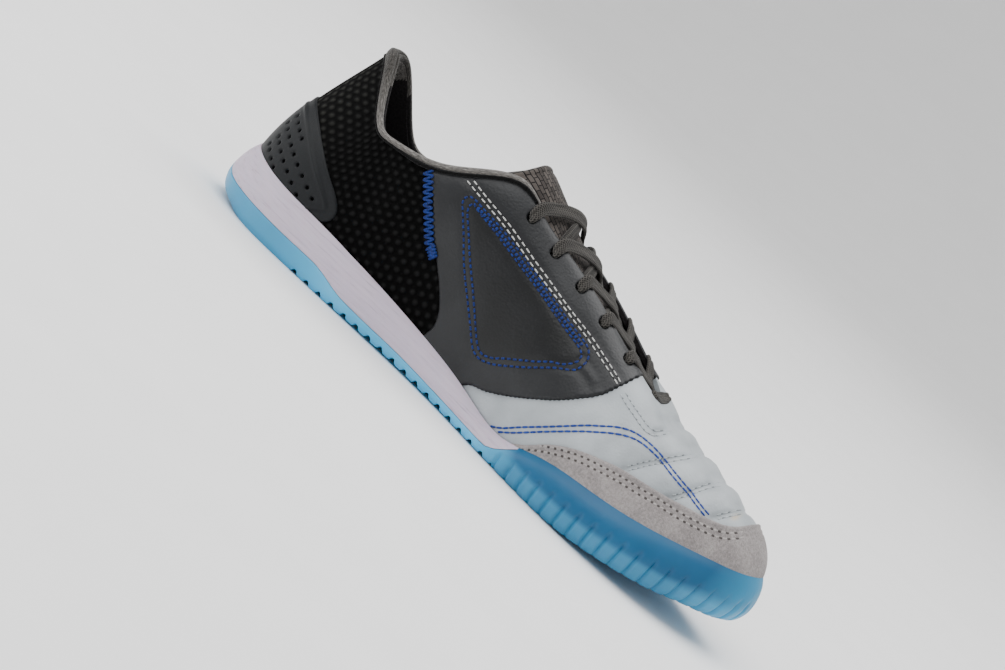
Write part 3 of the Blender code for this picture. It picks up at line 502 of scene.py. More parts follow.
def rings_piece(name, rings, capped=True):
    """A tube through rings of points: a grid primitive whose seam is merged, and its ends closed."""
    rings = np.asarray(rings, float)
    grid = np.concatenate([rings, rings[:, :1]], axis=1)
    piece = flat_grid(name, grid)
    along, around = run_of(grid.mean(axis=1)), run_of(grid[len(grid) // 2])
    set_map(piece, np.stack(np.meshgrid(along, around, indexing="ij"), -1).reshape(-1, 2) / MM)
    select_only(piece)
    bpy.ops.object.mode_set(mode="EDIT")
    bpy.ops.mesh.select_all(action="SELECT")
    bpy.ops.mesh.remove_doubles(threshold=1e-6)
    if capped:
        bpy.ops.mesh.select_all(action="DESELECT")
        bpy.ops.mesh.select_non_manifold()
        bpy.ops.mesh.fill_holes(sides=0)
    bpy.ops.object.mode_set(mode="OBJECT")
    face_outwards(piece)
    return piece


def dressed(piece, finish, slot, *nodes):
    """Gives a finished piece its material and its body, and hides the solids it stands for. The slot is not
    used.
    """
    piece.data.materials.append(finish)
    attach(piece, "root")
    if nodes:
        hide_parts(*nodes)
    print(piece.name, "faces:", len(piece.data.polygons))
    return piece


# %% [markdown]
# A finish is a small tree of nodes that feeds one shader. Such a tree could be drawn by hand
# in the shader editor. Here one function adds a node, sets it and links it, so that each
# finish below reads as a short list. Patterns are counted in millimetres: a scale of 0.5
# repeats about every 2 mm.

# %% Tools for materials


def colour(code):
    """A linear colour from its sRGB hex code."""
    parts = [int(code[i : i + 2], 16) / 255 for i in (1, 3, 5)]
    return (*[c / 12.92 if c <= 0.04045 else ((c + 0.055) / 1.055) ** 2.4 for c in parts], 1.0)


def add(tree, kind, sockets=None, stops=(), **settings):
    """Adds a node. A socket given as a value is set, and one given as another socket is linked.

    Stops are for a colour ramp: each is a place from 0 to 1 and a hex code.
    """
    made = tree.nodes.new(kind)
    for name, value in settings.items():
        setattr(made, name, value)
    for name, value in (sockets or {}).items():
        if isinstance(value, bpy.types.NodeSocket):
            tree.links.new(value, made.inputs[name])
        else:
            made.inputs[name].default_value = value
    stops = list(stops)
    for _ in stops[2:]:
        made.color_ramp.elements.new(0.5)
    for index, (place, code) in enumerate(stops):
        made.color_ramp.elements[index].position = place
        made.color_ramp.elements[index].color = colour(code)
    return made


def new_material(name, **sockets):
    """A material with a Principled shader, its plain sockets set."""
    made = bpy.data.materials.new(name)
    made.use_nodes = True
    shader = made.node_tree.nodes["Principled BSDF"]
    for socket, value in sockets.items():
        shader.inputs[socket.replace("_", " ")].default_value = value
    return made, made.node_tree, shader


def millimetres(tree):
    """Object coordinates counted in millimetres."""
    place = add(tree, "ShaderNodeTexCoord").outputs["Object"]
    return add(tree, "ShaderNodeMapping", {"Vector": place, "Scale": (1000, 1000, 1000)}).outputs["Vector"]


def coloured(tree, shader, factor, *stops):
    """Colours the shader's base along a ramp."""
    ramp = add(tree, "ShaderNodeValToRGB", {"Fac": factor}, stops)
    tree.links.new(ramp.outputs["Color"], shader.inputs["Base Color"])


def toned(tree, shader, factor, plain, other):
    """Colours the shader's base along two ramps, mixed by the tone that the piece carries."""
    tone = add(tree, "ShaderNodeAttribute", attribute_name="tone").outputs["Fac"]
    plain_ramp = add(tree, "ShaderNodeValToRGB", {"Fac": factor}, plain).outputs["Color"]
    other_ramp = add(tree, "ShaderNodeValToRGB", {"Fac": factor}, other).outputs["Color"]
    mixed = add(tree, "ShaderNodeMix", {0: tone, 6: plain_ramp, 7: other_ramp}, data_type="RGBA")
    tree.links.new(mixed.outputs[2], shader.inputs["Base Color"])


def relief(tree, shader, *heights):
    """Chains bumps: each is a height socket and how deep it is in millimetres."""
    normal = None
    for height, depth in heights:
        made = add(tree, "ShaderNodeBump", {"Height": height, "Distance": depth * MM, "Strength": 1.0})
        if normal:
            tree.links.new(normal, made.inputs["Normal"])
        normal = made.outputs["Normal"]
    tree.links.new(normal, shader.inputs["Normal"])


print("black as a linear colour:", colour("#000000"))

# %% [markdown]
# The quarter is coated leather, dark grey: full-grain or split hide with a polyurethane
# film, which gives a satin gloss and a fine cell grain. The vamp is the same in pale grey.
# A photograph of hide would do it too, but noise needs no picture: a mottle about 17 mm
# across and cells of 1 mm, coarser than real pores so that they show. The tone darkens the
# panel inside the triangle and the quarter's cut edge, whose dark line is partly the edge's
# own colour and partly painted shade, and carries the vamp's smudge.

# %% Coated leather


def leather(name, plain, other, grain):
    """Coated leather: a soft mottle, and a grain of cells this many millimetres across."""
    made, tree, shader = new_material(name, Roughness=0.42, Specular_IOR_Level=0.3)
    place = millimetres(tree)
    mottle = add(tree, "ShaderNodeTexNoise", {"Vector": place, "Scale": 0.06, "Detail": 4.0}).outputs["Fac"]
    toned(tree, shader, mottle, zip((0.35, 0.65), plain), zip((0.35, 0.65), other))
    cells = add(tree, "ShaderNodeTexVoronoi", {"Vector": place, "Scale": 1 / grain}, feature="SMOOTH_F1")
    fine = add(tree, "ShaderNodeTexNoise", {"Vector": place, "Scale": 2.5, "Detail": 3.0})
    relief(tree, shader, (cells.outputs["Distance"], 0.10), (fine.outputs["Fac"], 0.03))
    return made


DARK_LEATHER = leather("dark_coated_leather", ("#1c1d1f", "#232426"), ("#0f1011", "#141517"), 1.1)
PALE_LEATHER = leather("pale_coated_leather", ("#9ba1a5", "#a9afb3"), ("#c0ab88", "#c4b08e"), 1.0)
print("leathers:", DARK_LEATHER.name, PALE_LEATHER.name)

# %% [markdown]
# The trim is cloth, so it is rough and has a faint sheen of loose fibres. The lining and the
# sockliner are plain weaves of threads about 1 mm apart. The binding is a knitted melange
# tape: greys of several shades run along it, and it is painted darker round the heel, as
# painted shade.

# %% Plain cloth and tape


def cloth(name, dark, pale, thread_gap):
    """Plain woven cloth, with its threads this many millimetres apart."""
    made, tree, shader = new_material(name, Roughness=0.95, Specular_IOR_Level=0.1, Sheen_Weight=0.08)
    sockets = {"Vector": millimetres(tree), "Scale": 1 / thread_gap}
    weave = add(tree, "ShaderNodeTexVoronoi", sockets, feature="F1").outputs["Distance"]
    coloured(tree, shader, weave, (0.0, pale), (0.7, dark))
    relief(tree, shader, (weave, -0.25))
    return made


def melange(name, plain, other):
    """Knitted tape: threads of several greys along it, on the piece's own map, and darker by its tone, which is
    painted shade.
    """
    made, tree, shader = new_material(name, Roughness=0.95, Specular_IOR_Level=0.1, Sheen_Weight=0.15)
    place = add(tree, "ShaderNodeUVMap", uv_map="millimetres").outputs["UV"]
    drawn = add(tree, "ShaderNodeMapping", {"Vector": place, "Scale": (0.45, 1.6, 1.0)}).outputs["Vector"]
    sockets = {"Vector": drawn, "Scale": 1.0, "Detail": 3.0, "Roughness": 0.6}
    threads = add(tree, "ShaderNodeTexNoise", sockets).outputs["Fac"]
    toned(tree, shader, threads, zip((0.32, 0.5, 0.68), plain), zip((0.32, 0.5, 0.68), other))
    loops = add(tree, "ShaderNodeTexVoronoi", {"Vector": place, "Scale": 1 / 0.8}, feature="F1")
    relief(tree, shader, (loops.outputs["Distance"], -0.3), (threads, 0.2))
    return made


LINING = cloth("collar_lining_cloth", "#141213", "#201d1e", 0.9)
SOCKLINER = cloth("sockliner_cloth", "#161617", "#222223", 0.8)
PIPING_CLOTH = cloth("black_piping_cloth", "#050505", "#101011", 0.5)
BINDING_CLOTH = melange(
    "melange_binding_tape", ("#3c3a38", "#605d5a", "#878480"), ("#1e1d1c", "#353330", "#4f4c49")
)
print("cloths:", LINING.name, SOCKLINER.name, PIPING_CLOTH.name, BINDING_CLOTH.name)

# %% [markdown]
# The tongue is a coarse polyester weave whose floats lie like small bricks, 4.2 by 1.9 mm, so
# the Brick texture draws them. A lace is a flat braid: two sets of threads slant across it,
# about 2 to 3 mm apart here, which is coarser than a real braid, so that they show.

# %% Woven tongue and braided lace


def brick_weave():
    """The tongue's weave, on its own map."""
    made, tree, shader = new_material(
        "woven_tongue_cloth", Roughness=0.95, Specular_IOR_Level=0.1, Sheen_Weight=0.12
    )
    place = add(tree, "ShaderNodeUVMap", uv_map="millimetres").outputs["UV"]
    sway = add(tree, "ShaderNodeTexNoise", {"Vector": place, "Scale": 0.35, "Detail": 1.0}).outputs["Color"]
    both = {0: 0.12, 6: place, 7: sway}
    bent = add(tree, "ShaderNodeMix", both, data_type="RGBA", blend_type="ADD").outputs[2]
    sizes = {"Vector": bent, "Scale": 1.0, "Brick Width": 4.2, "Row Height": 1.9, "Bias": -0.1}
    gaps = {"Mortar Size": 0.28, "Mortar Smooth": 0.6, "Mortar": colour("#131110")}
    shades = {"Color1": colour("#544e4a"), "Color2": colour("#2f2b29")}
    floats = add(tree, "ShaderNodeTexBrick", sizes | gaps | shades)
    tree.links.new(floats.outputs["Color"], shader.inputs["Base Color"])
    threads = add(tree, "ShaderNodeTexNoise", {"Vector": place, "Scale": 2.2, "Detail": 2.0})
    relief(tree, shader, (floats.outputs["Fac"], -0.5), (threads.outputs["Fac"], 0.2))
    return made


def braid(name, dark, pale):
    """Flat braided lace: two sets of threads that cross in small chevrons, with streaks along it."""
    made, tree, shader = new_material(name, Roughness=0.95, Specular_IOR_Level=0.12, Sheen_Weight=0.1)
    place = add(tree, "ShaderNodeUVMap", uv_map="millimetres").outputs["UV"]
    waves = []
    for angle in (0.6, -0.6):
        turned = add(tree, "ShaderNodeMapping", {"Vector": place, "Rotation": (0, 0, angle)})
        sockets = {"Vector": turned.outputs["Vector"], "Scale": 0.35, "Distortion": 0.6}
        waves.append(add(tree, "ShaderNodeTexWave", sockets).outputs["Fac"])
    both = add(tree, "ShaderNodeMath", {0: waves[0], 1: waves[1]}, operation="MAXIMUM").outputs["Value"]
    drawn = add(tree, "ShaderNodeMapping", {"Vector": place, "Scale": (0.06, 0.9, 1.0)}).outputs["Vector"]
    streaks = add(tree, "ShaderNodeTexNoise", {"Vector": drawn, "Scale": 1.0, "Detail": 3.0}).outputs["Fac"]
    shade = add(tree, "ShaderNodeMath", {0: both, 1: streaks}, operation="MULTIPLY").outputs["Value"]
    coloured(tree, shader, shade, (0.22, dark), (0.6, pale))
    relief(tree, shader, (both, 0.25))
    return made


TONGUE_CLOTH = brick_weave()
LACE_CLOTH = braid("braided_lace", "#191817", "#56534f")
print("weaves:", TONGUE_CLOTH.name, LACE_CLOTH.name)

# %% [markdown]
# Spacer mesh is polyester knitted in two faces, with soft cells between them. The cells
# stand in staggered rows, 4.2 mm apart. Modelled cells would cost a million faces, so three
# sets of waves at 60 degrees draw them: where all three crest, a pale cell stands out as a
# painted highlight, and the gaps between are painted shade. The mesh is almost black, and
# painted greyer round the back of the heel and high up it, as painted light.

# %% Spacer mesh


def knit_mesh(pitch=4.2):
    """Cells this many millimetres apart, on the piece's own map, their crests painted pale as painted
    highlights.
    """
    made, tree, shader = new_material("black_spacer_mesh", Roughness=0.9, Specular_IOR_Level=0.08)
    place = add(tree, "ShaderNodeUVMap", uv_map="millimetres").outputs["UV"]
    wave_length = pitch * math.sqrt(3) / 2
    wave_sockets = {"Scale": math.tau / 20 / wave_length, "Phase Offset": math.pi}
    wave_sockets |= {"Distortion": 1.5, "Detail": 1.0, "Detail Scale": 0.5}
    total = None
    for angle in (0.0, 60.0, 120.0):
        turn = {"Vector": place, "Rotation": (0, 0, math.radians(angle))}
        turned = add(tree, "ShaderNodeMapping", turn).outputs["Vector"]
        wave = add(tree, "ShaderNodeTexWave", {"Vector": turned} | wave_sockets).outputs["Fac"]
        if total:
            wave = add(tree, "ShaderNodeMath", {0: wave, 1: total}, operation="ADD").outputs["Value"]
        total = wave
    cells = add(tree, "ShaderNodeMath", {0: total, 1: 3.0}, operation="DIVIDE").outputs["Value"]
    fine = add(tree, "ShaderNodeTexNoise", {"Vector": place, "Scale": 2.5, "Detail": 2.0})
    # Painted highlight on the cells' crests, painted shade in their gaps, and painted light round the heel.
    plain, painted_heel_light = ((0.45, "#020202"), (0.95, "#171717")), ((0.4, "#090909"), (0.95, "#30302d"))
    toned(tree, shader, cells, plain, painted_heel_light)
    relief(tree, shader, (cells, 1.3), (fine.outputs["Fac"], 0.08))
    return made


KNIT = knit_mesh()
print("mesh:", KNIT.name)

# %% [markdown]
# The toe guard is split suede: a short nap with no gloss, brushed in patches about 8 mm
# across. Real hairs could be combed over it, but at this distance a fine noise reads the
# same. Its fibres are drawn about 1 mm long.

# %% Suede


def suede():
    """Pale grey split suede."""
    made, tree, shader = new_material(
        "pale_grey_suede", Roughness=1.0, Specular_IOR_Level=0.05, Sheen_Weight=0.15
    )
    place = millimetres(tree)
    sockets = {"Vector": place, "Scale": 0.9, "Detail": 8.0, "Roughness": 0.75}
    nap = add(tree, "ShaderNodeTexNoise", sockets).outputs["Fac"]
    patches = add(tree, "ShaderNodeTexNoise", {"Vector": place, "Scale": 0.12, "Detail": 2.0}).outputs["Fac"]
    both = add(tree, "ShaderNodeMix", {0: 0.25, 2: nap, 3: patches}).outputs[0]
    coloured(tree, shader, both, (0.3, "#6f6b6a"), (0.48, "#928c8b"), (0.68, "#b0aaa8"))
    relief(tree, shader, (nap, 0.8))
    return made


SUEDE = suede()
print("suede:", SUEDE.name)

# %% [markdown]
# The heel counter is injection moulded thermoplastic polyurethane, satin, with the fine
# texture of a spark-eroded mould. The midsole is moulded EVA foam: a thin closed skin that
# lets a little light in, small pits, and faint scuffs along it. Both are plain colours with
# a fine noise, because their shape does the rest.

# %% Moulded plastic and foam


def moulding():
    """Satin slate plastic."""
    made, tree, shader = new_material("slate_moulded_plastic", Roughness=0.5, Specular_IOR_Level=0.22)
    fine = add(tree, "ShaderNodeTexNoise", {"Vector": millimetres(tree), "Scale": 1.6, "Detail": 5.0})
    coloured(tree, shader, fine.outputs["Fac"], (0.3, "#0b0d0f"), (0.7, "#121518"))
    relief(tree, shader, (fine.outputs["Fac"], 0.08))
    return made


def foam():
    """Pale lilac-grey foam, with scuffs drawn out along the shoe."""
    made, tree, shader = new_material("pale_moulded_foam", Roughness=0.6, Specular_IOR_Level=0.25)
    shader.inputs["Subsurface Weight"].default_value = 0.1
    shader.inputs["Subsurface Scale"].default_value = 2 * MM
    place = millimetres(tree)
    drawn = add(tree, "ShaderNodeMapping", {"Vector": place, "Scale": (0.05, 0.2, 0.9)}).outputs["Vector"]
    sockets = {"Vector": drawn, "Scale": 1.0, "Detail": 5.0, "Roughness": 0.65}
    scuffs = add(tree, "ShaderNodeTexNoise", sockets).outputs["Fac"]
    coloured(tree, shader, scuffs, (0.3, "#a599a9"), (0.42, "#bcb0c0"), (0.7, "#c5bac9"))
    pits = add(tree, "ShaderNodeTexNoise", {"Vector": place, "Scale": 1.2, "Detail": 6.0})
    relief(tree, shader, (pits.outputs["Fac"], 0.06), (scuffs, 0.15))
    return made


SLATE, FOAM = moulding(), foam()
print("moulded:", SLATE.name, FOAM.name)

# %% [markdown]
# The outsole is translucent gum rubber, tinted blue. Light enters it, so thin places look
# paler and the thick forefoot wall looks deeper. Real transmission is slow and noisy, so
# a shallow subsurface does part of the glow. The tone paints the rest: painted light, paler
# under the shank where light comes through, and painted shade high on the forefoot wall,
# which leans inwards, along with some real depth where the rubber is thick.

# %% Rubber


def rubber():
    """Blue gum rubber, deeper by its tone, which carries painted light and shade."""
    made, tree, shader = new_material("translucent_blue_rubber", Roughness=0.4, Specular_IOR_Level=0.3)
    shader.inputs["Subsurface Weight"].default_value = 0.2
    shader.inputs["Subsurface Scale"].default_value = 1.5 * MM
    place = millimetres(tree)
    cloud = add(tree, "ShaderNodeTexNoise", {"Vector": place, "Scale": 0.03, "Detail": 3.0}).outputs["Fac"]
    # The thin ramp is painted glow; the thick ramp is partly real depth and partly painted shade.
    thin, thick = ((0.3, "#4ab0dc"), (0.7, "#5cbce6")), ((0.3, "#0d4a70"), (0.7, "#165a82"))
    toned(tree, shader, cloud, thin, thick)
    fine = add(tree, "ShaderNodeTexNoise", {"Vector": place, "Scale": 0.8, "Detail": 3.0})
    relief(tree, shader, (fine.outputs["Fac"], 0.04))
    return made


RUBBER = rubber()
print("rubber:", RUBBER.name)

# %% [markdown]
# A lace goes through a row of punched eyelets on each side of the throat. The holes are cut
# through real panels, so their places are worked out first, an even pitch apart and a set
# distance in from the edge.

# %% Eyelets
EYELETS = 6
EYELET_RADIUS = 2.1 * MM
EYELET_INSET = 5.5 * MM
FIRST_EYELET, LAST_EYELET = 120.0 * MM, 204.4 * MM


def eyelet_turn(index):
    """The medial turn and the rise of an eyelet: 0 is nearest the ankle."""
    place = FIRST_EYELET + (LAST_EYELET - FIRST_EYELET) * index / (EYELETS - 1) - MIDDLE[0]
    turns = np.linspace(SHARES[6], 0.4999, 300)
    grid_turns, grid_rises = np.meshgrid(turns, np.linspace(1.0, 0.5, 120), indexing="ij")
    line = surface(grid_turns, grid_rises)
    length = np.cumsum(np.linalg.norm(np.diff(line, axis=1), axis=-1), axis=1)
    column = np.argmin(np.abs(length - EYELET_INSET), axis=1)
    along = line[np.arange(len(turns)), column + 1, 0]
    best = np.argmin(np.abs(along - place))
    return turns[best], grid_rises[best, column[best] + 1]


EYELET_TURNS = [eyelet_turn(index) for index in range(EYELETS)]
EYELET_SPOTS = {
    side: [surface(turn if side == "medial" else 1.0 - turn, rise) for turn, rise in EYELET_TURNS]
    for side in ("medial", "lateral")
}


def off_eyelets(points):
    """Distance outside the nearest eyelet's hole."""
    spots = EYELET_SPOTS["medial"] + EYELET_SPOTS["lateral"]
    return np.min([np.linalg.norm(points - spot, axis=-1) for spot in spots], axis=0) - EYELET_RADIUS


print("eyelets a side:", len(EYELET_TURNS))

# %% [markdown]
# The vamp is quilted: thread pulls soft channels into leather with thin foam behind it, and
# the leather between them stands up as pillows. Where the shoe bends and slackens it has
# creases. Both could be sculpted. Here each is a line in the side view with a width and a
# height, because then it can be placed and moved again.

# %% Quilting and creases
CHANNELS = [  # from the crest down the side
    [(215.5, 60.5), (218.4, 59.6), (219.2, 58.5), (219, 56.4), (218.4, 54.9)],
    [(229.5, 59), (232.8, 57.8), (233.3, 56.1), (229.9, 51), (225.8, 45.4), (221.6, 38.7), (220.6, 37.1)],
    [(245.3, 57), (249, 55.4), (247.6, 53), (244.9, 46.8), (242.2, 41.5), (241, 40.3)],
    [(260.5, 54.5), (263.3, 52.9), (262.1, 51), (258.6, 45.4)],
]
CREASES = [  # a line, half its width and its height, all in millimetres
    ([(199.5, 57), (203.5, 50), (204.5, 42), (202, 34)], 4.5, 0.7),
    ([(207, 54), (210.5, 48), (211, 41)], 3.5, -0.5),
    ([(196, 46), (190, 38), (181, 30), (172, 22)], 3.5, 0.5),
    ([(200, 40), (193, 32), (184, 24)], 3.0, -0.45),
    ([(176, 57.5), (184, 56), (191, 53)], 1.6, -0.4),
    ([(177, 52), (184, 51), (190, 48.5)], 1.8, -0.35),
    ([(178, 55), (186, 53.5)], 1.5, 0.3),
    ([(56, 62), (61, 53), (63, 44)], 5.0, -0.8),
    ([(70, 58), (74, 50), (73, 42)], 4.5, 0.7),
    ([(150, 62), (157, 50), (158, 38)], 9.0, 0.5),
    ([(168, 60), (172, 48), (166, 38)], 6.0, -0.4),
    ([(118, 66), (112, 54), (114, 42)], 9.0, 0.4),
]
CREASE_LINES = [side_view(points, 4.0) for points, _, _ in CREASES]


def creased(x, z):
    """Soft troughs and ridges, laid where this shoe bends and slackens."""
    total = np.zeros_like(x)
    for line, (_, width, height) in zip(CREASE_LINES, CREASES):
        total += height * np.exp(-((line_distance(line, x, z) / (width * MM)) ** 2))
    return total * MM


PILLOW = 0.6  # all in millimetres
STITCH_PULL, STITCH_HALF = 1.1, 1.6
SAG, SAG_HALF = 1.0, 5.5
QUILTED_FROM, QUILTING_FADE = 197, 8


def quilting(turn, rise):
    """Soft channels across the vamp, with fuller pillows between them, and none under the quarter."""
    x, _, z = surface(turn, rise).T
    away = np.min([line_distance(side_view(line, 3.0), x, z) for line in CHANNELS], axis=0) / MM
    pulled = STITCH_PULL * np.exp(-((away / STITCH_HALF) ** 2))
    pillow = PILLOW - pulled - SAG * np.exp(-((away / SAG_HALF) ** 2))
    pillow *= np.clip((x + MIDDLE[0] - QUILTED_FROM * MM) / (QUILTING_FADE * MM), 0.0, 1.0)
    return pillow * MM + creased(x, z)


def slackened(turn, rise):
    """The rear of the upper has no quilting, only its creases."""
    x, _, z = surface(turn, rise).T
    return creased(x, z)


print("channels:", len(CHANNELS), "creases:", len(CREASES))

# %% [markdown]
# The upper's own skin comes in two halves that meet under the dark leather: black spacer
# mesh round the heel, and pale leather over the vamp. A Solidify modifier could thicken
# them, but the collar's padding makes the wall uneven, so each is a slab whose inner layer
# follows the wall's own table. The inner faces carry the cloth lining.

# %% Vamp and rear of the upper
QUARTER_END = 195 * MM


def skin(name, turns, outside, finish, slot, distance=None, count=84):
    """A slab of the upper's own wall, with its lining as a second material."""
    piece = pattern(name, turns, np.linspace(0.0, 1.0, count))
    if distance:
        trim(piece, distance)
    slab(piece)
    inner = coordinates(piece)[:, 2] < 0.5
    pull_over(piece, lambda turn, rise: -wall(turn, rise), outside)
    dressed(piece, finish, slot, "upper")
    piece.data.materials.append(LINING)
    from_heel = coordinates(piece)[:, 0] + MIDDLE[0]
    for face in piece.data.polygons:
        turned_in = [inner[v] for v in face.vertices]
        under_quarter = from_heel[face.vertices[0]] < QUARTER_END
        face.material_index = int(all(turned_in) or (under_quarter and any(turned_in)))
    return piece


SPLIT = turn_at(131.0)
rear_turns, vamp_turns = np.linspace(-SPLIT, SPLIT, 260), np.linspace(SPLIT, 1.0 - SPLIT, 320)
rear = skin("knit_rear", rear_turns, slackened, KNIT, "upper_textile")
vamp = skin(
    "vamp",
    vamp_turns,
    quilting,
    PALE_LEATHER,
    "upper_textile",
    lambda turn, rise: off_eyelets(surface(turn, rise)),
    100,
)

# %% [markdown]
# Two finishes change across a piece. Inside the heel's top the lining gives way to the
# binding's tape, in a slanting patch. The mesh is painted greyer round the back of the heel
# and high up it, as painted light, and the same tone darkens the tape's patch there as
# painted shade. A small smudge sits on the vamp. A painted mask would need a picture, so
# each is worked out per vertex.

# %% Patch, painted heel light and smudge
HEEL_TOP = (20.0, 92.5)
SMUDGE, SMUDGE_RADIUS = (263.5, 50.0), 2.6


def from_back_and_floor(piece):
    """Each vertex's distance from the back of the heel and from the floor, in millimetres."""
    x, _, z = coordinates(piece).T
    return (x + MIDDLE[0]) / MM, z / MM


rear.data.materials.append(BINDING_CLOTH)
from_heel, over_floor = from_back_and_floor(rear)
in_patch = (HEEL_TOP[1] - over_floor) * 1.2 + (from_heel - HEEL_TOP[0]) * 0.9 < 17
for face in rear.data.polygons:
    if face.material_index == 1 and in_patch[face.vertices[0]]:
        face.material_index = 2
# Painted light: the mesh greyer round the back of the heel and high up it; the same tone darkens the tape's
# patch as painted shade.
set_tone(rear, 1.15 - from_heel / 34 - np.clip((48 - over_floor) / 60, 0.0, 1.0))
from_heel, over_floor = from_back_and_floor(vamp)
off_smudge = np.hypot(from_heel - SMUDGE[0], over_floor - SMUDGE[1]) / SMUDGE_RADIUS
set_tone(vamp, (0.7 - off_smudge) * (coordinates(vamp)[:, 1] < 0.0))
print("patch vertices:", int(in_patch.sum()))

# %% [markdown]
# The overlays are cut from thicker leather. Their edges are rounded, because a cut edge
# that is pressed and stitched down never stays square. A Bevel modifier could round them,
# but the trimmed edge has corners of every size, so the height itself falls in a quarter
# circle. The dark quarter's front edge is pinked: a row of small teeth.

# %% Quarters
QUARTER_THICK = 1.3 * MM


def rounded(depth, thickness, radius):
    """Height of a panel at this distance inside its edge: a quarter circle, then flat."""
    share = 1.0 - np.clip(depth / radius, 0.0, 1.0)
    return 0.04 * MM + thickness * np.sqrt(1.0 - share**2)


def pinked(line, pitch, depth):
    """Turns a line into small teeth."""
    line = evenly(line, pitch / 2)
    way = np.gradient(line, axis=0)
    normal = np.column_stack([way[:, 1], -way[:, 0]]) / np.linalg.norm(way, axis=1)[:, None]
    return line + normal * (np.where(np.arange(len(line)) % 2, 0.5, -0.5) * depth)[:, None]


def closed_over(*points):
    """Corner points, in metres from the origin, that close a panel's outline out of sight."""
    return np.array(points) * MM - [MIDDLE[0], 0.0]


TOOTH_PITCH, TOOTH_DEPTH = 1.9 * MM, 0.55 * MM
QUARTER = np.vstack([
    QUARTER_BACK, closed_over((118, -30), (143, -30)),
    pinked(QUARTER_FRONT, TOOTH_PITCH, TOOTH_DEPTH), closed_over((196, 140), (60, 140)),
])
TRIANGLE_OUTER = [
    (162.2, 63.9), (172.8, 61.9), (176.2, 60.2), (177.7, 57.9), (178.3, 55.6), (176.9, 51.4), (170.5, 46.9),
    (162.3, 39.6), (151.6, 31.3), (146.3, 28.4), (142.2, 27.6), (138.1, 29.1), (131.9, 34.6), (122.6, 42.8),
    (113.2, 51.3), (104.1, 61), (96.7, 68.4), (94.3, 70.7), (94.5, 73.1), (95.9, 74.4), (98.9, 74.5),
    (114.5, 73.1), (128.9, 70.6), (143.1, 67.8), (162.2, 63.9),
]
TRIANGLE_INNER = [
    (162.4, 60.9), (172.1, 59.2), (174.2, 58.3), (175.6, 55.3), (172.4, 50.4), (167.6, 47.6), (162.5, 43.1),
    (151.9, 35.2), (147.5, 31.5), (142.8, 29.8), (138.5, 31.7), (132, 37.6), (122.9, 46.2), (113.3, 55),
    (104.3, 63.8), (99.2, 68.6), (97.8, 71.4), (98.8, 73.2), (102.8, 71.9), (114.4, 70.3), (128.8, 67.4),
    (143.3, 64.9), (162.4, 60.9),
]


SEAM_DIP, SEAM_HALF = 0.3 * MM, 1.6 * MM
TOP_DIP, TOP_FADE = 0.8 * MM, 3.0 * MM
EDGE_RADIUS = 0.7 * MM


def quarter(side):
    """One side's leather, dipped along its seams and toward the collar, with its eyelets."""
    sign = 1 if side == "medial" else -1

    def from_edge(turn, rise):
        points = surface(turn, rise)
        return np.minimum(inside(QUARTER, points[..., 0], points[..., 2]), off_eyelets(points))

    def over(turn, rise):
        points = surface(turn, rise)
        to_top = np.linalg.norm(points - surface(turn, 1.0), axis=-1)
        x, _, z = points.T
        to_seam = np.min([line_distance(seam, x, z) for seam in PRESSED], axis=0)
        pressed = SEAM_DIP * np.exp(-((to_seam / SEAM_HALF) ** 2))
        pressed += TOP_DIP * np.exp(-to_top / TOP_FADE) * np.clip(to_top / EDGE_RADIUS, 0.0, 1.0)
        leather_top = rounded(np.minimum(from_edge(turn, rise), to_top), QUARTER_THICK, EDGE_RADIUS)
        return leather_top - pressed + creased(x, z)

    turns = np.linspace(turn_at(44), turn_at(246), 270)
    turns = turns if sign > 0 else 1.0 - turns
    piece = pattern("quarter_leather_" + side, turns, np.linspace(0.02, 1.0, 112))
    trim(piece, from_edge)
    slab(piece)
    x, _, z = surface(*coordinates(piece)[:, :2].T).T
    in_triangle = inside(side_view(TRIANGLE_INNER, 3.0), x, z) / (2.0 * MM) + 0.6
    # Painted shade, partly the edge's own dark colour, along the quarter's cut edge.
    at_edge = 1.0 - inside(QUARTER, x, z) / (0.9 * MM)
    pull_over(piece, flush, over)
    set_tone(piece, np.maximum(in_triangle, at_edge))
    return dressed(piece, DARK_LEATHER, "quarter_leather", "quarter_" + side)


WHITE_UPPER = [
    (91.9, 79.7), (98, 78.8), (114.6, 76.6), (124.1, 74.7), (133.3, 72.6), (143, 70.8), (152.8, 68.8),
    (162.3, 67.1), (171.7, 65.5), (181.1, 63.2), (190.7, 60.8), (194.2, 59.7),
]
WHITE_LOWER = [
    (89.8, 77.9), (97.9, 76.9), (114.5, 74.7), (124.1, 72.7), (133.6, 70.6), (143, 68.8), (152.9, 67.3),
    (162.6, 65.5), (171.7, 63.9), (181.3, 61.6), (191, 59.3), (194, 58.5),
]
PRESSED = [side_view(line, 3.0) for line in (WHITE_UPPER, WHITE_LOWER, TRIANGLE_OUTER, TRIANGLE_INNER)]
quarters = [quarter("medial"), quarter("lateral")]

# %% [markdown]
# The toe guard is suede, a little thicker, with a soft cut edge. It takes most knocks, so
# two rows of stitches hold it, and they press it down between a raised rim and the body. It
# is cut and lasted like the quarter.

# %% Toe guard
GUARD = np.vstack([GUARD_EDGE, closed_over((330, 66), (330, -30), (172, -30))])
GUARD_THICK, GUARD_EDGE_RADIUS = 1.4 * MM, 0.9 * MM
GUARD_ROWS = (2.3, 4.6)  # how far in from the edge, in millimetres
RIM_INSET, ROW_HALF = 1.2, 0.6


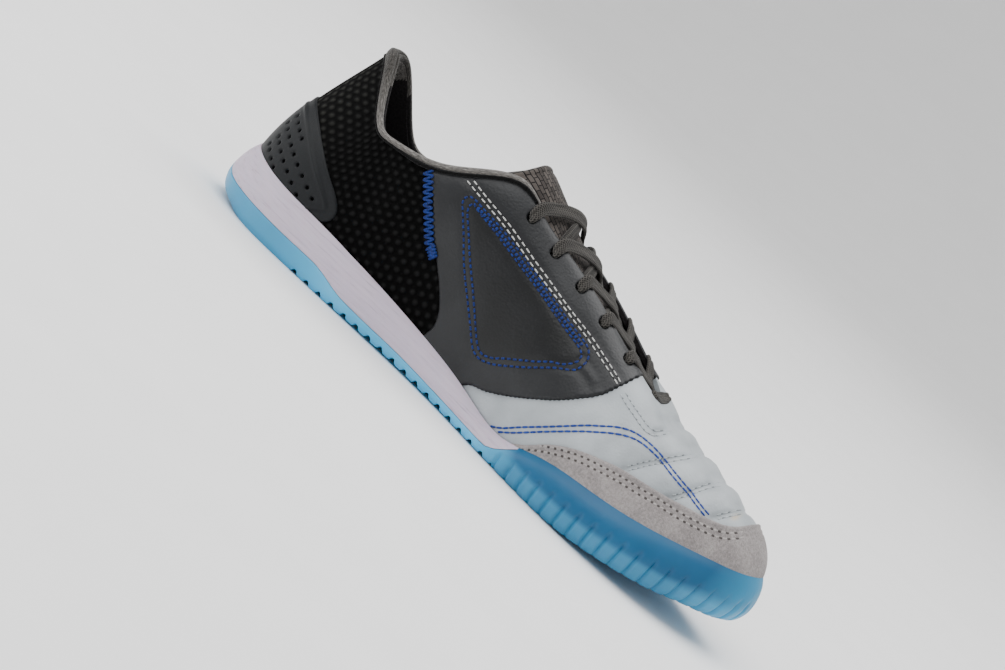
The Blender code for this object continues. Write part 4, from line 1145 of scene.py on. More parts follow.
def toe_guard():
    """The suede round the toe, with a rim and two pressed rows."""
    from_edge = edge_distance(GUARD)

    def over(turn, rise):
        depth = from_edge(turn, rise) / MM
        rows = sum(np.exp(-(((depth - row) / ROW_HALF) ** 2)) for row in GUARD_ROWS)
        rim = np.exp(-(((depth - RIM_INSET) / ROW_HALF) ** 2))
        return rounded(depth * MM, GUARD_THICK, GUARD_EDGE_RADIUS) + (0.25 * rim - 0.3 * rows) * MM

    start = turn_at(166)
    piece = pattern("toe_guard_suede", np.linspace(start, 1.0 - start, 400), np.linspace(0.02, 0.72, 84))
    trim(piece, from_edge)
    slab(piece)
    pull_over(piece, flush, over)
    return dressed(piece, SUEDE, "guard_suede", "toe_guard")


guard = toe_guard()

# %% [markdown]
# The heel counter is moulded. It has a raised ridge along its edge and four rows of real
# holes, cut in the flat where they are plain circles.

# %% Heel counter
COUNTER = np.vstack([COUNTER_EDGE, closed_over((50, -30), (-40, -30), (-40, 60.1))])
HOLE_ROWS = [
    [(12.1, 46.9), (15.4, 45.6), (18.9, 44), (22.7, 42.5)],
    [
        (10.8, 42.1), (13.7, 40.5), (17.2, 39), (21, 37.3), (25.1, 35.7), (29.9, 33.9), (34.9, 32.1),
        (40, 30.1), (44.8, 28.1),
    ],
    [(12.7, 35.6), (15.4, 34.2), (19.2, 32.4), (23.4, 30.6), (28.1, 28.8), (33.1, 26.7), (38.3, 24.6)],
    [(11.5, 30.7), (14, 29.1), (17.7, 27.3), (21.5, 25.5)],
]


def first_hits(trees, start, way):
    """The nearest place where a ray meets any of the trees."""
    best = None
    for tree in trees:
        spot, normal, _, far = tree.ray_cast(Vector(start), Vector(way))
        if spot is not None and (best is None or far < best[2]):
            best = (np.array(spot), np.array(normal), far)
    return best


def tree_of(piece):
    corners = [vertex.co for vertex in piece.data.vertices]
    return BVHTree.FromPolygons(corners, [face.vertices for face in piece.data.polygons])


def beside(trees, x, z, side):
    """The surface's point and outward direction, seen from the side at this place."""
    way = (0.0, 1.0, 0.0) if side == "medial" else (0.0, -1.0, 0.0)
    found = first_hits(trees, (x, -way[1] * 0.2, z), way)
    if found is None or found[0][1] * way[1] > 0.0:
        return None
    spot, normal, _ = found
    return spot, normal if normal @ np.array(way) < 0 else -normal


SKIN_TREES = [tree_of(rear), tree_of(vamp)]
HOLE_SPOTS = [
    beside(SKIN_TREES, x * MM - MIDDLE[0], z * MM, side)
    for side in ("medial", "lateral")
    for row in HOLE_ROWS
    for x, z in row
]
HOLES = np.array([found[0] for found in HOLE_SPOTS if found])
HOLE_RADIUS = 0.8 * MM


def heel_counter():
    def from_edge(turn, rise):
        points = surface(turn, rise)
        return inside(COUNTER, points[..., 0], points[..., 2])

    def kept(turn, rise):
        points = surface(turn, rise)
        to_hole = np.min([np.linalg.norm(points - hole, axis=-1) for hole in HOLES], axis=0) - HOLE_RADIUS
        return np.minimum(from_edge(turn, rise), to_hole)

    def over(turn, rise):
        depth = from_edge(turn, rise)
        ridge = np.exp(-(((depth - 5.0 * MM) / (0.8 * MM)) ** 2))
        body = np.clip((depth - 4.6 * MM) / (1.2 * MM), 0.0, 1.0)
        return rounded(kept(turn, rise), 0.8 * MM, 0.8 * MM) + (0.55 * ridge + 0.35 * body) * MM

    end = turn_at(66)
    piece = pattern("heel_counter_shell", np.linspace(-end, end, 290), np.linspace(0.02, 0.8, 120))
    trim(piece, kept)
    slab(piece)
    pull_over(piece, flush, over)
    return dressed(piece, SLATE, "counter_moulding", "heel_counter")


heel_counter()

# %% [markdown]
# The collar's edge is a roll of cloth over foam. It is one tube that runs from one side
# of the throat round the heel to the other, and swells where the padding is thick.

# %% Collar binding
BINDING_PROFILE = [
    (0.0, 0.0), (-0.14, 0.25), (-0.16, 0.5), (-0.02, 0.8), (0.22, 1.0),
    (0.42, 0.94), (0.53, 0.66), (0.62, 0.9),
    (0.8, 0.92), (0.94, 0.65), (0.97, 0.3), (0.96, 0.0), (0.5, -0.2),
]


def heel_share(points):
    """1 round the heel, falling to 0 where the collar is lowest."""
    return np.clip((44 - (points[:, 0] + MIDDLE[0]) / MM) / 20, 0.0, 1.0)


def collar_binding():
    turns = np.linspace(-SHARES[7], SHARES[7], 420)
    top, normal = surface(turns, 1.0), surface_normal(turns, 1.0)
    up = top - surface(turns, 0.98)
    up /= np.linalg.norm(up, axis=-1)[:, None]
    thick, height = wall(turns, 1.0), last(turns)[:, 14]
    profile = evenly(smooth_line(BINDING_PROFILE + BINDING_PROFILE[:1], 0.05), 0.1)[:-1]
    at_heel = heel_share(top)
    rings = []
    for across, lift in profile:
        drop = 2.6 * MM * at_heel * np.clip(1.0 - 2 * lift, 0.0, 1.0) * (across < 0.3)
        in_by, up_by = thick * across - 0.4 * MM, height * lift - drop
        rings.append(top - normal * in_by[:, None] + up * up_by[:, None])
    rings = np.stack(rings, 1)
    piece = rings_piece("collar_roll", rings)
    dressed(piece, BINDING_CLOTH, "trim_fabric", "collar_binding")
    piece.data.materials.append(LINING)
    from_heel = (coordinates(piece)[:, 0] + MIDDLE[0]) / MM
    # The tone is painted shade: the roll darker round the heel.
    set_tone(piece, (44 - from_heel) / 16)
    valley = run_of(rings[len(rings) // 2])[np.argmin(np.linalg.norm(profile - [0.53, 0.66], axis=1))] / MM
    layer = piece.data.uv_layers["millimetres"].data
    for face in piece.data.polygons:
        around = min(layer[loop].uv[1] for loop in face.loop_indices)
        face.material_index = int(around > valley and from_heel[face.vertices[0]] > 34)
    return piece


def collar_piping():
    """A thin black tube under the roll, thickest where it lies on the quarter's top edge."""
    turns = np.linspace(-SHARES[7], SHARES[7], 400)
    top, normal = surface(turns, 1.0), surface_normal(turns, 1.0)
    up = top - surface(turns, 0.98)
    up /= np.linalg.norm(up, axis=-1)[:, None]
    from_heel = (top[:, 0] + MIDDLE[0]) / MM
    on_quarter = np.clip((from_heel - 58) / 10, 0.0, 1.0)
    radius = (0.5 + 0.5 * on_quarter) * np.clip((124 - from_heel) / 14, 0.35, 1.0)
    out_by, down_by = 0.35 + 0.75 * on_quarter, 0.3 + 2.5 * heel_share(top)
    centre = top + (normal * out_by[:, None] - up * down_by[:, None]) * MM
    around = np.linspace(0.0, math.tau, 10, endpoint=False)
    spokes = [normal * math.cos(angle) + up * math.sin(angle) for angle in around]
    rings = np.stack([centre + spoke * (radius * MM)[:, None] for spoke in spokes], 1)
    return dressed(rings_piece("collar_piping", rings), PIPING_CLOTH, "trim_fabric")


collar_binding()
collar_piping()

# %% [markdown]
# The tongue lies under the throat's edges and stands up in front of the ankle. Its
# surface is the instep's own, carried across the throat, so a net of the instep is made
# first and every point of the tongue and the laces is dropped onto it.

# %% Instep and tongue
CREST = np.array([
    (99.3, 105.1), (105.7, 102.4), (113.6, 99.0), (123.2, 94.5), (137.2, 87.2), (151.8, 79.2),
    (166.4, 72.3), (181.0, 66.2), (192.7, 61.2), (204.4, 58.5),
]) * MM - [MIDDLE[0], 0.0]
TONGUE_CLEARANCE = 0.65 * MM
TONGUE_THICK = 4.5 * MM
WING_SWEEP, WING_DROP = 14.0 * MM, 8.2 * MM


def throat(along, column):
    """A size of the throat's medial edge at this place along the shoe."""
    turns = np.linspace(SHARES[6] - 0.02, 0.5, 200)
    return np.interp(along, last(turns)[:, 6], np.abs(last(turns)[:, column]))


def instep_tree():
    """A net over the instep: the upper's sides, bridged across the throat."""
    rises = np.linspace(0.45, 1.0, 20)
    t = np.linspace(0.0, 1.0, 24)[1:-1, None]
    rows = []
    for turn in np.linspace(SHARES[4], 0.4999, 150):
        medial, lateral = surface(turn, rises), surface(1.0 - turn, rises)[::-1]
        left, right = medial[-1], lateral[0]
        crest = np.interp(left[0], *CREST.T) + throat(left[0], 13) + TONGUE_CLEARANCE
        start, stop = left + (right - left) / 3, right + (left - right) / 3
        start[2] = stop[2] = (8 * crest - left[2] - right[2]) / 6
        bridge = left * (1 - t) ** 3 + start * 3 * t * (1 - t) ** 2 + stop * 3 * t**2 * (1 - t) + right * t**3
        rows.append(np.vstack([medial, bridge, lateral]))
    grid = np.array(rows)
    count = grid.shape[1]
    faces = []
    for row in range(len(rows) - 1):
        for a in range(row * count, row * count + count - 1):
            faces.append((a, a + 1, a + count + 1, a + count))
    return BVHTree.FromPolygons([tuple(p) for p in grid.reshape(-1, 3)], faces)


INSTEP = instep_tree()


def on_instep(x, y, lift):
    """A point over the instep at this place in plan.

    A ray that runs along an edge can miss, so others go beside it.
    """
    for nudge in (0.0, 0.01 * MM, 0.3 * MM):
        spot, normal, _, _ = INSTEP.ray_cast(Vector((x + nudge, y + nudge, 1.0)), Vector((0.0, 0.0, -1.0)))
        if spot is not None:
            return np.array(spot + normal * (lift if normal.z > 0 else -lift))
    raise ValueError(f"nothing under {x / MM:.1f}, {y / MM:.1f} mm")


def tongue():
    """Padded, with wings that sweep back and down beside the collar, and a folded hem at its end."""
    start, end = 215.6 * MM - MIDDLE[0], 105.3 * MM - MIDDLE[0]
    shares = np.sin(np.linspace(-1.0, 1.0, 45) * math.pi / 2)
    outer = []
    for place in np.append(np.linspace(start, end + 4 * MM, 84), np.linspace(end + 3.5 * MM, end, 9)):
        top = np.clip(1.0 - (place - end) / (22 * MM), 0.0, 1.0)
        tuck = 7.0 * MM * np.clip((place - end) / (60 * MM), 0.0, 1.0)
        half = throat(place, 7) + tuck - 4.6 * MM * top
        depth = -(throat(place, 13) + TONGUE_CLEARANCE)
        line = [on_instep(place, half * share, depth) for share in shares]
        outer.append(np.array(line) - np.outer(abs(shares) ** 3, [WING_SWEEP * top, 0.0, WING_DROP * top]))
    outer = np.array(outer)
    normal = np.cross(np.gradient(outer, axis=0), np.gradient(outer, axis=1))
    normal /= np.linalg.norm(normal, axis=-1)[..., None]
    normal *= np.sign(normal[len(outer) // 2, len(shares) // 2, 2])
    edge = np.sqrt(np.clip(1.0 - shares**2, 0.0, 1.0)) ** 0.6
    from_end = (outer[:, 22, 0] - outer[-1, 22, 0]) / MM
    end_round = np.sqrt(1.0 - (1.0 - np.clip(from_end / 2.2, 0.0, 1.0)) ** 2)
    hem = 1.0 - 0.16 * np.exp(-(((from_end - 3.4) / 0.8) ** 2))
    thick = TONGUE_THICK * np.outer(np.maximum(end_round * hem, 0.25), np.maximum(edge, 0.22))
    middle = outer - normal * 2.25 * MM
    upper_face = middle + normal * (thick / 2)[..., None]
    lower_face = middle - normal * (thick / 2)[..., None]
    piece = rings_piece("tongue_pad", np.concatenate([upper_face, lower_face[:, -2:0:-1]], axis=1))
    return dressed(piece, TONGUE_CLOTH, "trim_fabric", "tongue")


tongue()

# %% [markdown]
# Each lace is a soft flat braid. It comes up through its eyelet, folds over the leather,
# crosses the tongue and goes under the far edge, where the next eyelet takes it.

# %% Laces
LACE_WIDTH, LACE_THICK = 5.8 * MM, 2.0 * MM
ON_LEATHER = 2.3 * MM
UNDER_EDGE = -2.9 * MM
ON_TONGUE = -1.5 * MM


def lace_line(start, stop, heights, bow):
    """Points of a braid over the instep, from edge to edge, at heights given along it."""
    shares = np.linspace(0.0, 1.0, len(heights))
    points = []
    for share, height in zip(shares, heights):
        x, y = start + (stop - start) * share
        points.append(on_instep(x + bow * math.sin(math.pi * share), y, height))
    return points


def lace(name, hole, points, up, far_hole=None, out_by=1.6 * MM):
    """A soft flat braid out of a hole, through points, and into the far hole if there is one."""
    head = [hole - up * 3.0 * MM, hole - up * 1.0 * MM, hole + up * out_by]
    tail = []
    if far_hole is not None:
        tail = [far_hole + up * out_by, far_hole - up * 1.0 * MM, far_hole - up * 3.0 * MM]
    path = evenly(smooth_line(np.array(head + points + tail), 0.6 * MM), 0.8 * MM)
    ahead = np.gradient(path, axis=0)
    ahead /= np.linalg.norm(ahead, axis=1)[:, None]
    way = points[-1] - points[0]
    across = np.cross(up, [way[0], way[1], 0.0])
    side = across - ahead * (ahead @ across)[:, None]
    side /= np.linalg.norm(side, axis=1)[:, None]
    out = np.cross(ahead, side)
    out *= np.sign(out[len(out) // 2] @ up)
    squeeze = np.clip(np.linalg.norm(path - hole, axis=1) / (5.5 * MM), 0.0, 1.0)
    if far_hole is not None:
        squeeze = np.minimum(squeeze, np.clip(np.linalg.norm(path - far_hole, axis=1) / (5.5 * MM), 0.0, 1.0))
    squeeze = 1.0 - (1.0 - squeeze) ** 2
    width, thick = LACE_WIDTH * (0.6 + 0.4 * squeeze), LACE_THICK * (1.2 - 0.2 * squeeze)
    around = np.linspace(0.0, math.tau, 24, endpoint=False)
    wide, high = np.cos(around), np.sin(around)
    wide, high = np.sign(wide) * abs(wide) ** 0.85, np.sign(high) * abs(high) ** 0.7
    high *= 1.0 - 0.4 * np.exp(-((wide / 0.3) ** 2))
    rings = path[:, None] + side[:, None] * (wide * 0.5)[None, :, None] * width[:, None, None]
    rings = rings + out[:, None] * (high * 0.5)[None, :, None] * thick[:, None, None]
    return rings_piece(name, rings)


def beside_eyelet(side, index, inward):
    """A place in plan this far from an eyelet toward the throat."""
    spot = EYELET_SPOTS[side][index]
    return spot[:2] - [0.0, math.copysign(inward, spot[1])]


def eyelet_way(side, index):
    turn, rise = EYELET_TURNS[index]
    return surface_normal(turn if side == "medial" else 1.0 - turn, rise)


laces = []
for index in range(EYELETS - 1):
    for side, other, arch in (("medial", "lateral", 3.2 * MM), ("lateral", "medial", 1.2 * MM)):
        start = beside_eyelet(side, index, 3.2 * MM)
        stop = beside_eyelet(other, index + 1, 2.0 * MM)
        over = ON_LEATHER if side == "medial" else 0.45 * ON_LEATHER
        heights = [over, 0.6 * over, ON_TONGUE + 0.9 * arch, ON_TONGUE + arch, ON_TONGUE + 0.8 * arch]
        heights += [ON_TONGUE, UNDER_EDGE, UNDER_EDGE - 0.6 * MM]
        points = lace_line(start, stop, heights, 2.2 * MM)
        name = f"lace_{index + 1}_from_{side}"
        piece = lace(name, EYELET_SPOTS[side][index], points, eyelet_way(side, index), out_by=0.7 * over)
        laces.append(dressed(piece, LACE_CLOTH, "lace", f"lace_crossing_{index + 1}"))
start, stop = beside_eyelet("medial", 5, 2.4 * MM), beside_eyelet("lateral", 5, 2.4 * MM)
points = lace_line(start, stop, [0.9 * MM, 1.2 * MM, 1.1 * MM, 0.8 * MM, 0.4 * MM], 0.0)
bar_way = eyelet_way("medial", 5) + eyelet_way("lateral", 5)
bar_way /= np.linalg.norm(bar_way)
near_hole, far_hole = EYELET_SPOTS["medial"][5], EYELET_SPOTS["lateral"][5]
bar = lace("lace_over_vamp", near_hole, points, bar_way, far_hole, 0.7 * MM)
laces.append(dressed(bar, LACE_CLOTH, "lace", "lace_bar"))

# %% [markdown]
# Sole and foam come from one blank: rings that run up the side, over the rim and down
# inside. Soft flutes go round the forefoot, and notches part the lugs of the tread. The
# blank is then split along the parting line with a Boolean block.

# %% Sole
RIB_PITCH, RIB_DEPTH = 7.0 * MM, 1.5 * MM
PARTING = [
    (-9, 21), (-1, 17), (0.3, 15.8), (1.2, 14.2), (3, 12.3), (6, 11), (11, 10.1), (23.4, 9.6),
    (45, 9.4), (62, 9.5),
    (67, 9.2), (72, 8.3), (77, 7.1), (82, 6.2), (88, 5.8), (98, 5.6), (116.8, 5.5),
    (143.1, 4.7), (167.9, 4.3),
    (172.9, 5.3), (176.4, 7.3), (182.5, 12.6),
]


def notch(x):
    """How far the notches between the lugs rise at this place along the shoe."""
    first, last_place = 0.205 * 292 * MM - MIDDLE[0], 0.60 * 292 * MM - MIDDLE[0]
    from_notch = np.abs((x - first + RIB_PITCH / 2) % RIB_PITCH - RIB_PITCH / 2)
    within = (x > first - RIB_PITCH / 2) & (x < last_place + RIB_PITCH / 2)
    return np.where(within, np.clip((1.62 * MM - from_notch) / 0.49, 0.0, 2.0 * MM), 0.0)


def sole_blank(name):
    """Cup and foam in one, before they are parted."""
    fine = np.linspace(0.0, 0.5, 4000)
    length = np.append(0.0, np.cumsum(np.hypot(*np.diff(last(fine)[:, :2], axis=0).T)))
    half = np.interp(np.linspace(0.0, length[-1], 470), length, fine)
    turns = np.append(half, 1.0 - half[-2:0:-1])
    start = np.interp(172.28 * MM - MIDDLE[0], last(fine)[:, 0], length)
    run = np.interp(np.minimum(turns, 1.0 - turns), fine, length) - start
    pitch = (length[-1] - start) / round((length[-1] - start) / RIB_PITCH)
    fade = np.clip(run / (6 * MM), 0.0, 1.0)
    ribbed = RIB_DEPTH * fade * (0.5 + 0.5 * np.cos(math.tau * run / pitch)) ** 7
    edge, outward = outline(turns)
    low = tread(turns)
    sizes = last(turns)
    floor, rim, roll = low + sizes[:, 3], low + sizes[:, 4], sizes[:, 5]
    side = rim - low
    cup = lifted(turns, rise_at(turns, rim), np.full_like(turns, 0.4 * MM))
    inset = np.einsum("ij,ij->i", edge - cup[:, :2], outward) - 1.2 * MM
    knots = [
        (roll, 0.0, 1.0), (0.35 * roll, 0.12, 1.0), (0.06 * roll, 0.30, 1.0), (0.0 * roll, 0.46, 0.8),
        (0.12 * inset, 0.64, 0.0), (0.45 * inset, 0.83, 0.0),
        (inset - 0.1 * MM, 0.985, 0.0), (inset + 0.35 * MM, 1.0, 0.0),
    ]
    weights = smooth_line(np.eye(len(knots)), 0.36)
    rings = []
    for row in weights:
        in_by = sum(w * (k[0] + k[2] * ribbed) for w, k in zip(row, knots))
        height = low + side * sum(w * k[1] for w, k in zip(row, knots))
        plan = edge - outward * in_by[:, None]
        height = np.maximum(height, low + notch(plan[:, 0]))
        rings.append(np.column_stack([plan, height]))
    for height in (rim - 0.25 * MM, rim - 1.5 * MM, (floor + rim) / 2, floor):
        inner = lifted(turns, rise_at(turns, height), np.full_like(turns, 0.4 * MM))
        rings.append(np.column_stack([inner[:, :2], height]))
    return stacked(name, np.array(rings))


def stacked(name, rings):
    """A closed piece through rings that pair up across the shoe, open ends bridged by rungs."""
    piece = rings_piece(name, rings, capped=False)
    count = rings.shape[1]
    points = coordinates(piece)
    order = np.array([np.argmin(np.abs(points - ring).sum(1)) for end in (rings[0], rings[-1]) for ring in end])
    work = bmesh.new()
    work.from_mesh(piece.data)
    work.verts.ensure_lookup_table()
    for end in (order[:count], order[count:]):
        verts = [work.verts[i] for i in end]
        work.faces.new((verts[0], verts[1], verts[-1]))
        for i in range(1, count // 2 - 1):
            work.faces.new((verts[i], verts[i + 1], verts[count - i - 1], verts[count - i]))
        work.faces.new((verts[count // 2 - 1], verts[count // 2], verts[count // 2 + 1]))
    work.to_mesh(piece.data)
    work.free()
    face_outwards(piece)
    print(name, "rings:", len(rings), "of", count)
    return piece


def split(piece, lift, operation):
    """Cuts the blank with a block whose underside is the parting line."""
    line = side_view(PARTING) + [0.0, lift]
    polygon = np.vstack([line, closed_over((182.5, 90), (-20, 90))])
    ends = [np.column_stack([polygon[:, 0], np.full(len(polygon), y), polygon[:, 1]]) for y in (-0.2, 0.2)]
    block = rings_piece("parting_block", ends)
    cut = piece.modifiers.new("parting", "BOOLEAN")
    cut.operation, cut.object, cut.solver = operation, block, "EXACT"
    select_only(piece)
    bpy.ops.object.modifier_apply(modifier=cut.name)
    bpy.data.objects.remove(block)
    return piece


outsole = split(sole_blank("outsole_cup"), 0.0, "DIFFERENCE")
# Painted light and shade: the rubber paler under the shank, and darker high on the forefoot wall, which leans
# in.
x, _, z = coordinates(outsole).T
tread_there = np.interp(x, *(last(np.linspace(0.0, 0.5, 200))[:, [0, 2]].T))
wall_share = (z - tread_there) / MM / 13.0 - 0.55
from_heel = (x + MIDDLE[0]) / MM
painted_glow_and_depth = np.interp(from_heel, [0, 40, 75, 165, 185, 262, 290], [0.5, 0.5, 0.0, 0.0, 0.7, 0.7, 0.4])
painted_wall_shade = np.interp(from_heel, [172, 192, 262, 288], [0.0, 1.0, 1.0, 0.3])
set_tone(outsole, painted_glow_and_depth + painted_wall_shade * np.clip(wall_share * 1.7, 0.0, 0.6))
dressed(outsole, RUBBER, "outsole_rubber", "outsole")
midsole = split(sole_blank("midsole_wedge"), 0.25 * MM, "INTERSECT")
dressed(midsole, FOAM, "midsole_foam", "midsole")

# %% [markdown]
# Sewing comes last, as on a real upper after lasting it is there to be seen. One stitch is
# modelled once, as a short pill of thread, and copied along each seam. A seam is drawn in
# the side view, and each stitch drops sideways onto the finished panels. Where the needle
# went in, a small flat dark pill is painted shade for the hole.

# %% One stitch


def thread(name, dark, pale):
    """Bonded polyester thread: satin, with its twist as fine stripes, drawn coarse enough to show."""
    made, tree, shader = new_material(name, Roughness=0.55, Specular_IOR_Level=0.25)
    ply = add(tree, "ShaderNodeTexNoise", {"Vector": millimetres(tree), "Scale": 1.6, "Detail": 2.0})
    coloured(tree, shader, ply.outputs["Fac"], (0.35, dark), (0.65, pale))
    relief(tree, shader, (ply.outputs["Fac"], 0.15))
    return made


def one_stitch():
    """A pill of unit length, width and height along X: its points and its faces."""
    bpy.ops.mesh.primitive_uv_sphere_add(segments=6, ring_count=5, radius=0.5)
    made = bpy.context.object
    z, y, x = coordinates(made).T
    faces = [tuple(reversed(face.vertices)) for face in made.data.polygons]
    bpy.data.objects.remove(made)
    return np.column_stack([0.5 * np.sign(x) * np.abs(2 * x) ** 0.45, y, z]), faces


STITCH_POINTS, STITCH_FACES = one_stitch()


def sewn(name, places, width, height, finish, slot):
    """Copies the stitch along each place, a start, a stop and the way outwards, as one piece."""
    start, stop, way = (np.array(part) for part in zip(*places))
    ahead = stop - start
    side = np.cross(way, ahead)
    side /= np.linalg.norm(side, axis=1)[:, None]
    out = np.cross(ahead, side)
    out /= np.linalg.norm(out, axis=1)[:, None]
    x, y, z = (STITCH_POINTS[None, :, axis, None] for axis in range(3))
    middle = (start + stop) / 2 + out * height * 0.22
    points = middle[:, None] + ahead[:, None] * x + side[:, None] * width * y + out[:, None] * height * z
    count = len(STITCH_POINTS)
    faces = [tuple(v + count * i for v in face) for i in range(len(places)) for face in STITCH_FACES]
    mesh = bpy.data.meshes.new(name)
    mesh.from_pydata(points.reshape(-1, 3).tolist(), [], faces)
    piece = bpy.data.objects.new(name, mesh)
    bpy.context.collection.objects.link(piece)
    face_outwards(piece)
    return dressed(piece, finish, slot)


def places_on(trees, spots, side):
    """The surface's point and outward way at each spot of the side view that meets the panels."""
    return [beside(trees, *spot, side) for spot in spots]


def running(trees, line, pitch, dash, side, step=0.6):
    """The stitches of one plain row, and the painted shade of the needle holes between them."""
    starts = evenly(side_view(line, step), pitch * MM)
    stops = starts[:-1] + np.diff(starts, axis=0) * dash / pitch
    a, b = places_on(trees, starts[:-1], side), places_on(trees, stops, side)
    stitches = [(p[0], q[0], p[1] + q[1]) for p, q in zip(a, b) if p and q]
    hole_shades = [(p[0], q[0], p[1] + q[1]) for p, q in zip(b, a[1:]) if p and q]
    return stitches, hole_shades


def offset(points, distance):
    """The same line, this many millimetres to the right of its direction."""
    line = smooth_line(points, 3.0)
    way = np.gradient(line, axis=0)
    return line + np.column_stack([way[:, 1], -way[:, 0]]) / np.linalg.norm(way, axis=1)[:, None] * distance


print("faces in a stitch:", len(STITCH_FACES))

# %% [markdown]
# The seams: a white double row and a blue triangle on the quarter, a blue zigzag that
# joins the quarter to the mesh and ends in a bar tack, a blue double row over the vamp,
# grey rows in the quilting, and dark dots where the suede is sewn down. The dark dots, and
# the dark pills between every seam's stitches, are painted shade in the needle holes.

# %% Seams
VAMP_OUTER = [
    (166.2, 10.9), (170.7, 13.8), (176.1, 19.2), (187, 29.6), (196.7, 39.1), (201.4, 43), (206.2, 46.9),
    (210.7, 49.2), (215.4, 50.3), (219.8, 50.5), (224.4, 50.3), (229.2, 49.4), (236.6, 48.5),
    (247.5, 46.6), (256.7, 44.9),
]
VAMP_INNER = [
    (170.4, 11.5), (176.1, 16.2), (186.8, 26.6), (196.8, 35.9), (201.4, 39.7), (206.1, 43.5), (210.9, 46.5),
    (215.6, 48.3), (220.2, 48.8), (224.5, 48.7), (229.3, 48), (236.7, 47), (247.8, 45.2), (255.9, 43.7),
]
TRIANGLE_MIDDLE = [(100.9, 72.9), (114.5, 71.6), (128.9, 68.9), (143.2, 66.3), (162.3, 62.4), (172.5, 60.6)]
ZIGZAG = [(74.8, 70.1), (78.7, 66.2), (84.5, 60.3), (89.8, 54.8), (95.3, 48.9), (97.6, 47.2)]
BAR_TACK = [(97.2, 48), (101, 45)]
EYESTAY = [
    (197.4, 58.5), (202.4, 57.1), (210.2, 55.4), (214.8, 54.6), (217.5, 55), (218.7, 56.8), (218.9, 59),
]
GUARD_TOP = [
    (179.1, 15.8), (183.3, 19.7), (191.8, 25.4), (201.6, 30.5), (211.2, 33.7), (220.6, 36.3), (230.1, 38.1),
    (239, 39.9), (248.1, 41.3), (256.8, 43.2), (263, 45), (266.5, 47.2), (268.8, 50.5),
]

WHITE_THREAD = thread("white_thread", "#a5a5a3", "#cbcbc8")
BLUE_THREAD = thread("blue_thread", "#051440", "#0e2e78")
NAVY_THREAD = thread("navy_thread", "#152b70", "#2c4a9a")
PALE_THREAD = thread("pale_grey_thread", "#9aa0a3", "#b2b8bb")
SUEDE_THREAD = thread("warm_grey_thread", "#8c8785", "#a7a2a0")
HOLE_SHADE = thread("needle_hole_shade", "#0b0b0c", "#141415")
GREY_HOLE_SHADE = thread("needle_hole_shade_in_pale_leather", "#6d7376", "#7c8285")
SUEDE_HOLE_SHADE = thread("needle_hole_shade_in_suede", "#3c3736", "#4b4644")

rear_tree, vamp_tree, guard_tree = SKIN_TREES[0], SKIN_TREES[1], tree_of(guard)
quarter_trees = {"medial": tree_of(quarters[0]), "lateral": tree_of(quarters[1])}
SEAMS = [  # name, panels, lines, pitch, dash, width, height, thread, hole shade, slot
    (
        "white_rows", "quarter", [WHITE_UPPER, WHITE_LOWER],
        3.3, 2.4, 0.65, 0.6, WHITE_THREAD, HOLE_SHADE, "quarter_leather",
    ),
    (
        "triangle_rows", "quarter", [TRIANGLE_OUTER, TRIANGLE_INNER],
        2.6, 1.8, 0.95, 0.6, BLUE_THREAD, HOLE_SHADE, "quarter_leather",
    ),
    (
        "triangle_top_row", "quarter", [TRIANGLE_MIDDLE],
        1.9, 1.4, 1.5, 0.6, BLUE_THREAD, HOLE_SHADE, "quarter_leather",
    ),
    (
        "vamp_rows", "vamp", [VAMP_OUTER, VAMP_INNER],
        2.9, 2.6, 0.95, 0.6, NAVY_THREAD, GREY_HOLE_SHADE, "upper_textile",
    ),
    (
        "eyestay_rows", "vamp", [EYESTAY, offset(EYESTAY, 1.9)],
        2.6, 1.7, 0.7, 0.4, PALE_THREAD, GREY_HOLE_SHADE, "upper_textile",
    ),
    (
        "channel_rows", "vamp", [offset(line, gap) for line in CHANNELS[1:] for gap in (-0.9, 0.9)],
        2.2, 1.4, 0.6, 0.4, PALE_THREAD, GREY_HOLE_SHADE, "upper_textile",
    ),
    (
        "guard_rows", "guard", [offset(GUARD_TOP, 2.3), offset(GUARD_TOP, 4.6)],
        2.9, 1.7, 0.95, 0.3, SUEDE_THREAD, SUEDE_HOLE_SHADE, "guard_suede",
    ),
]
for name, panels, lines, pitch, dash, width, height, finish, hole_shade, slot in SEAMS:
    stitches, hole_shades = [], []
    for side in ("medial", "lateral"):
        trees = {"quarter": [quarter_trees[side]], "vamp": [vamp_tree], "guard": [guard_tree]}[panels]
        for line in lines:
            made = running(trees, line, pitch, dash, side)
            stitches += made[0]
            hole_shades += made[1]
    sewn(name, stitches, width * MM, height * MM, finish, slot)
    # Painted shade: dark pills for the needle holes between the stitches.
    sewn(name + "_hole_shades", hole_shades, width * 1.1 * MM, 0.22 * MM, hole_shade, slot)

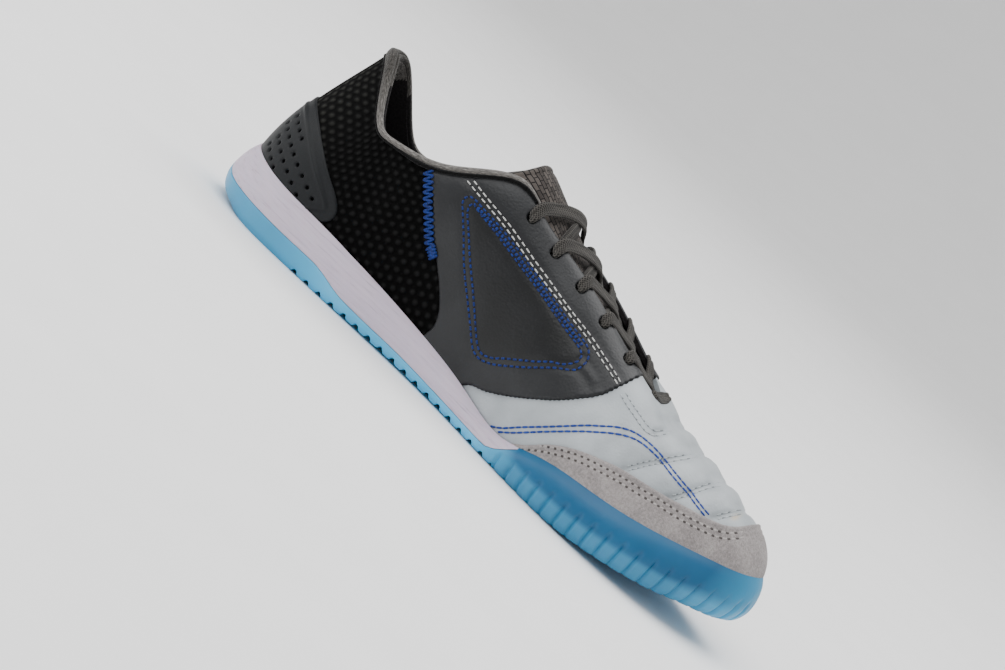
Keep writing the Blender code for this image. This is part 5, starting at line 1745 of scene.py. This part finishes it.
zigzags = []
for side in ("medial", "lateral"):
    trees = [quarter_trees[side], rear_tree]
    for line, pitch, width in ((ZIGZAG, 2.6, 4.9), (BAR_TACK, 1.3, 4.6)):
        found = places_on(trees, pinked(side_view(line, 0.5), pitch * MM, width * MM), side)
        for p, q in zip(found, found[1:]):
            if p and q:
                zigzags.append((p[0] + p[1] * 0.5 * MM, q[0] + q[1] * 0.5 * MM, p[1] + q[1]))
sewn("zigzag_seam", zigzags, 1.3 * MM, 1.0 * MM, BLUE_THREAD, "quarter_leather")

# %% [markdown]
# The sockliner's solid has the right shape, so it stays and only gets its cloth.

# %% Sockliner
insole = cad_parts["insole"]
insole.data.materials.clear()
insole.data.materials.append(SOCKLINER)

# %% [markdown]
# The floor is a pale sweep that curves up behind the shoe, so no horizon shows.

# %% Floor and light


def sweep():
    """A pale studio sweep: flat under the shoe, and curved up into a wall far behind."""
    made, tree, shader = new_material("pale_paper", Roughness=0.9)
    grain = add(tree, "ShaderNodeTexNoise", {"Vector": millimetres(tree), "Scale": 0.02, "Detail": 2.0})
    coloured(tree, shader, grain.outputs["Fac"], (0.3, "#fafafa"), (0.7, "#fdfdfd"))
    angle = np.linspace(0.0, math.pi / 2, 16)
    line = [(-4.0, 0.0), (0.0, 0.0), *zip(2.0 + 1.5 * np.sin(angle), 1.5 - 1.5 * np.cos(angle)), (3.5, 5.0)]
    grid = np.array([[(x, y, z) for y, z in line] for x in (-5.0, 5.0)])
    floor = flat_grid("floor_sweep", grid)
    select_only(floor)
    bpy.ops.object.shade_smooth()
    floor.data.materials.append(made)


def soft_light(name, place, size, power):
    """A square soft light that points at the shoe."""
    bpy.ops.object.light_add(type="AREA", location=place)
    light = bpy.context.object
    light.name = name
    light.data.size = size
    light.data.energy = power
    light.rotation_euler = Vector(place).to_track_quat("Z", "Y").to_euler()


sweep()
soft_light("key_light", (-0.5, -1.2, 1.7), 1.4, 24)
soft_light("fill_light", (1.4, -1.2, 0.9), 1.4, 5)
soft_light("heel_light", (-1.5, -0.5, 0.7), 1.0, 12)
soft_light("top_light", (0.2, 0.5, 2.0), 1.8, 48)
world = bpy.data.worlds.new("studio")
world.use_nodes = True
world.node_tree.nodes["Background"].inputs["Color"].default_value = (1.0, 1.0, 1.0, 1.0)
world.node_tree.nodes["Background"].inputs["Strength"].default_value = 0.45
bpy.context.scene.world = world
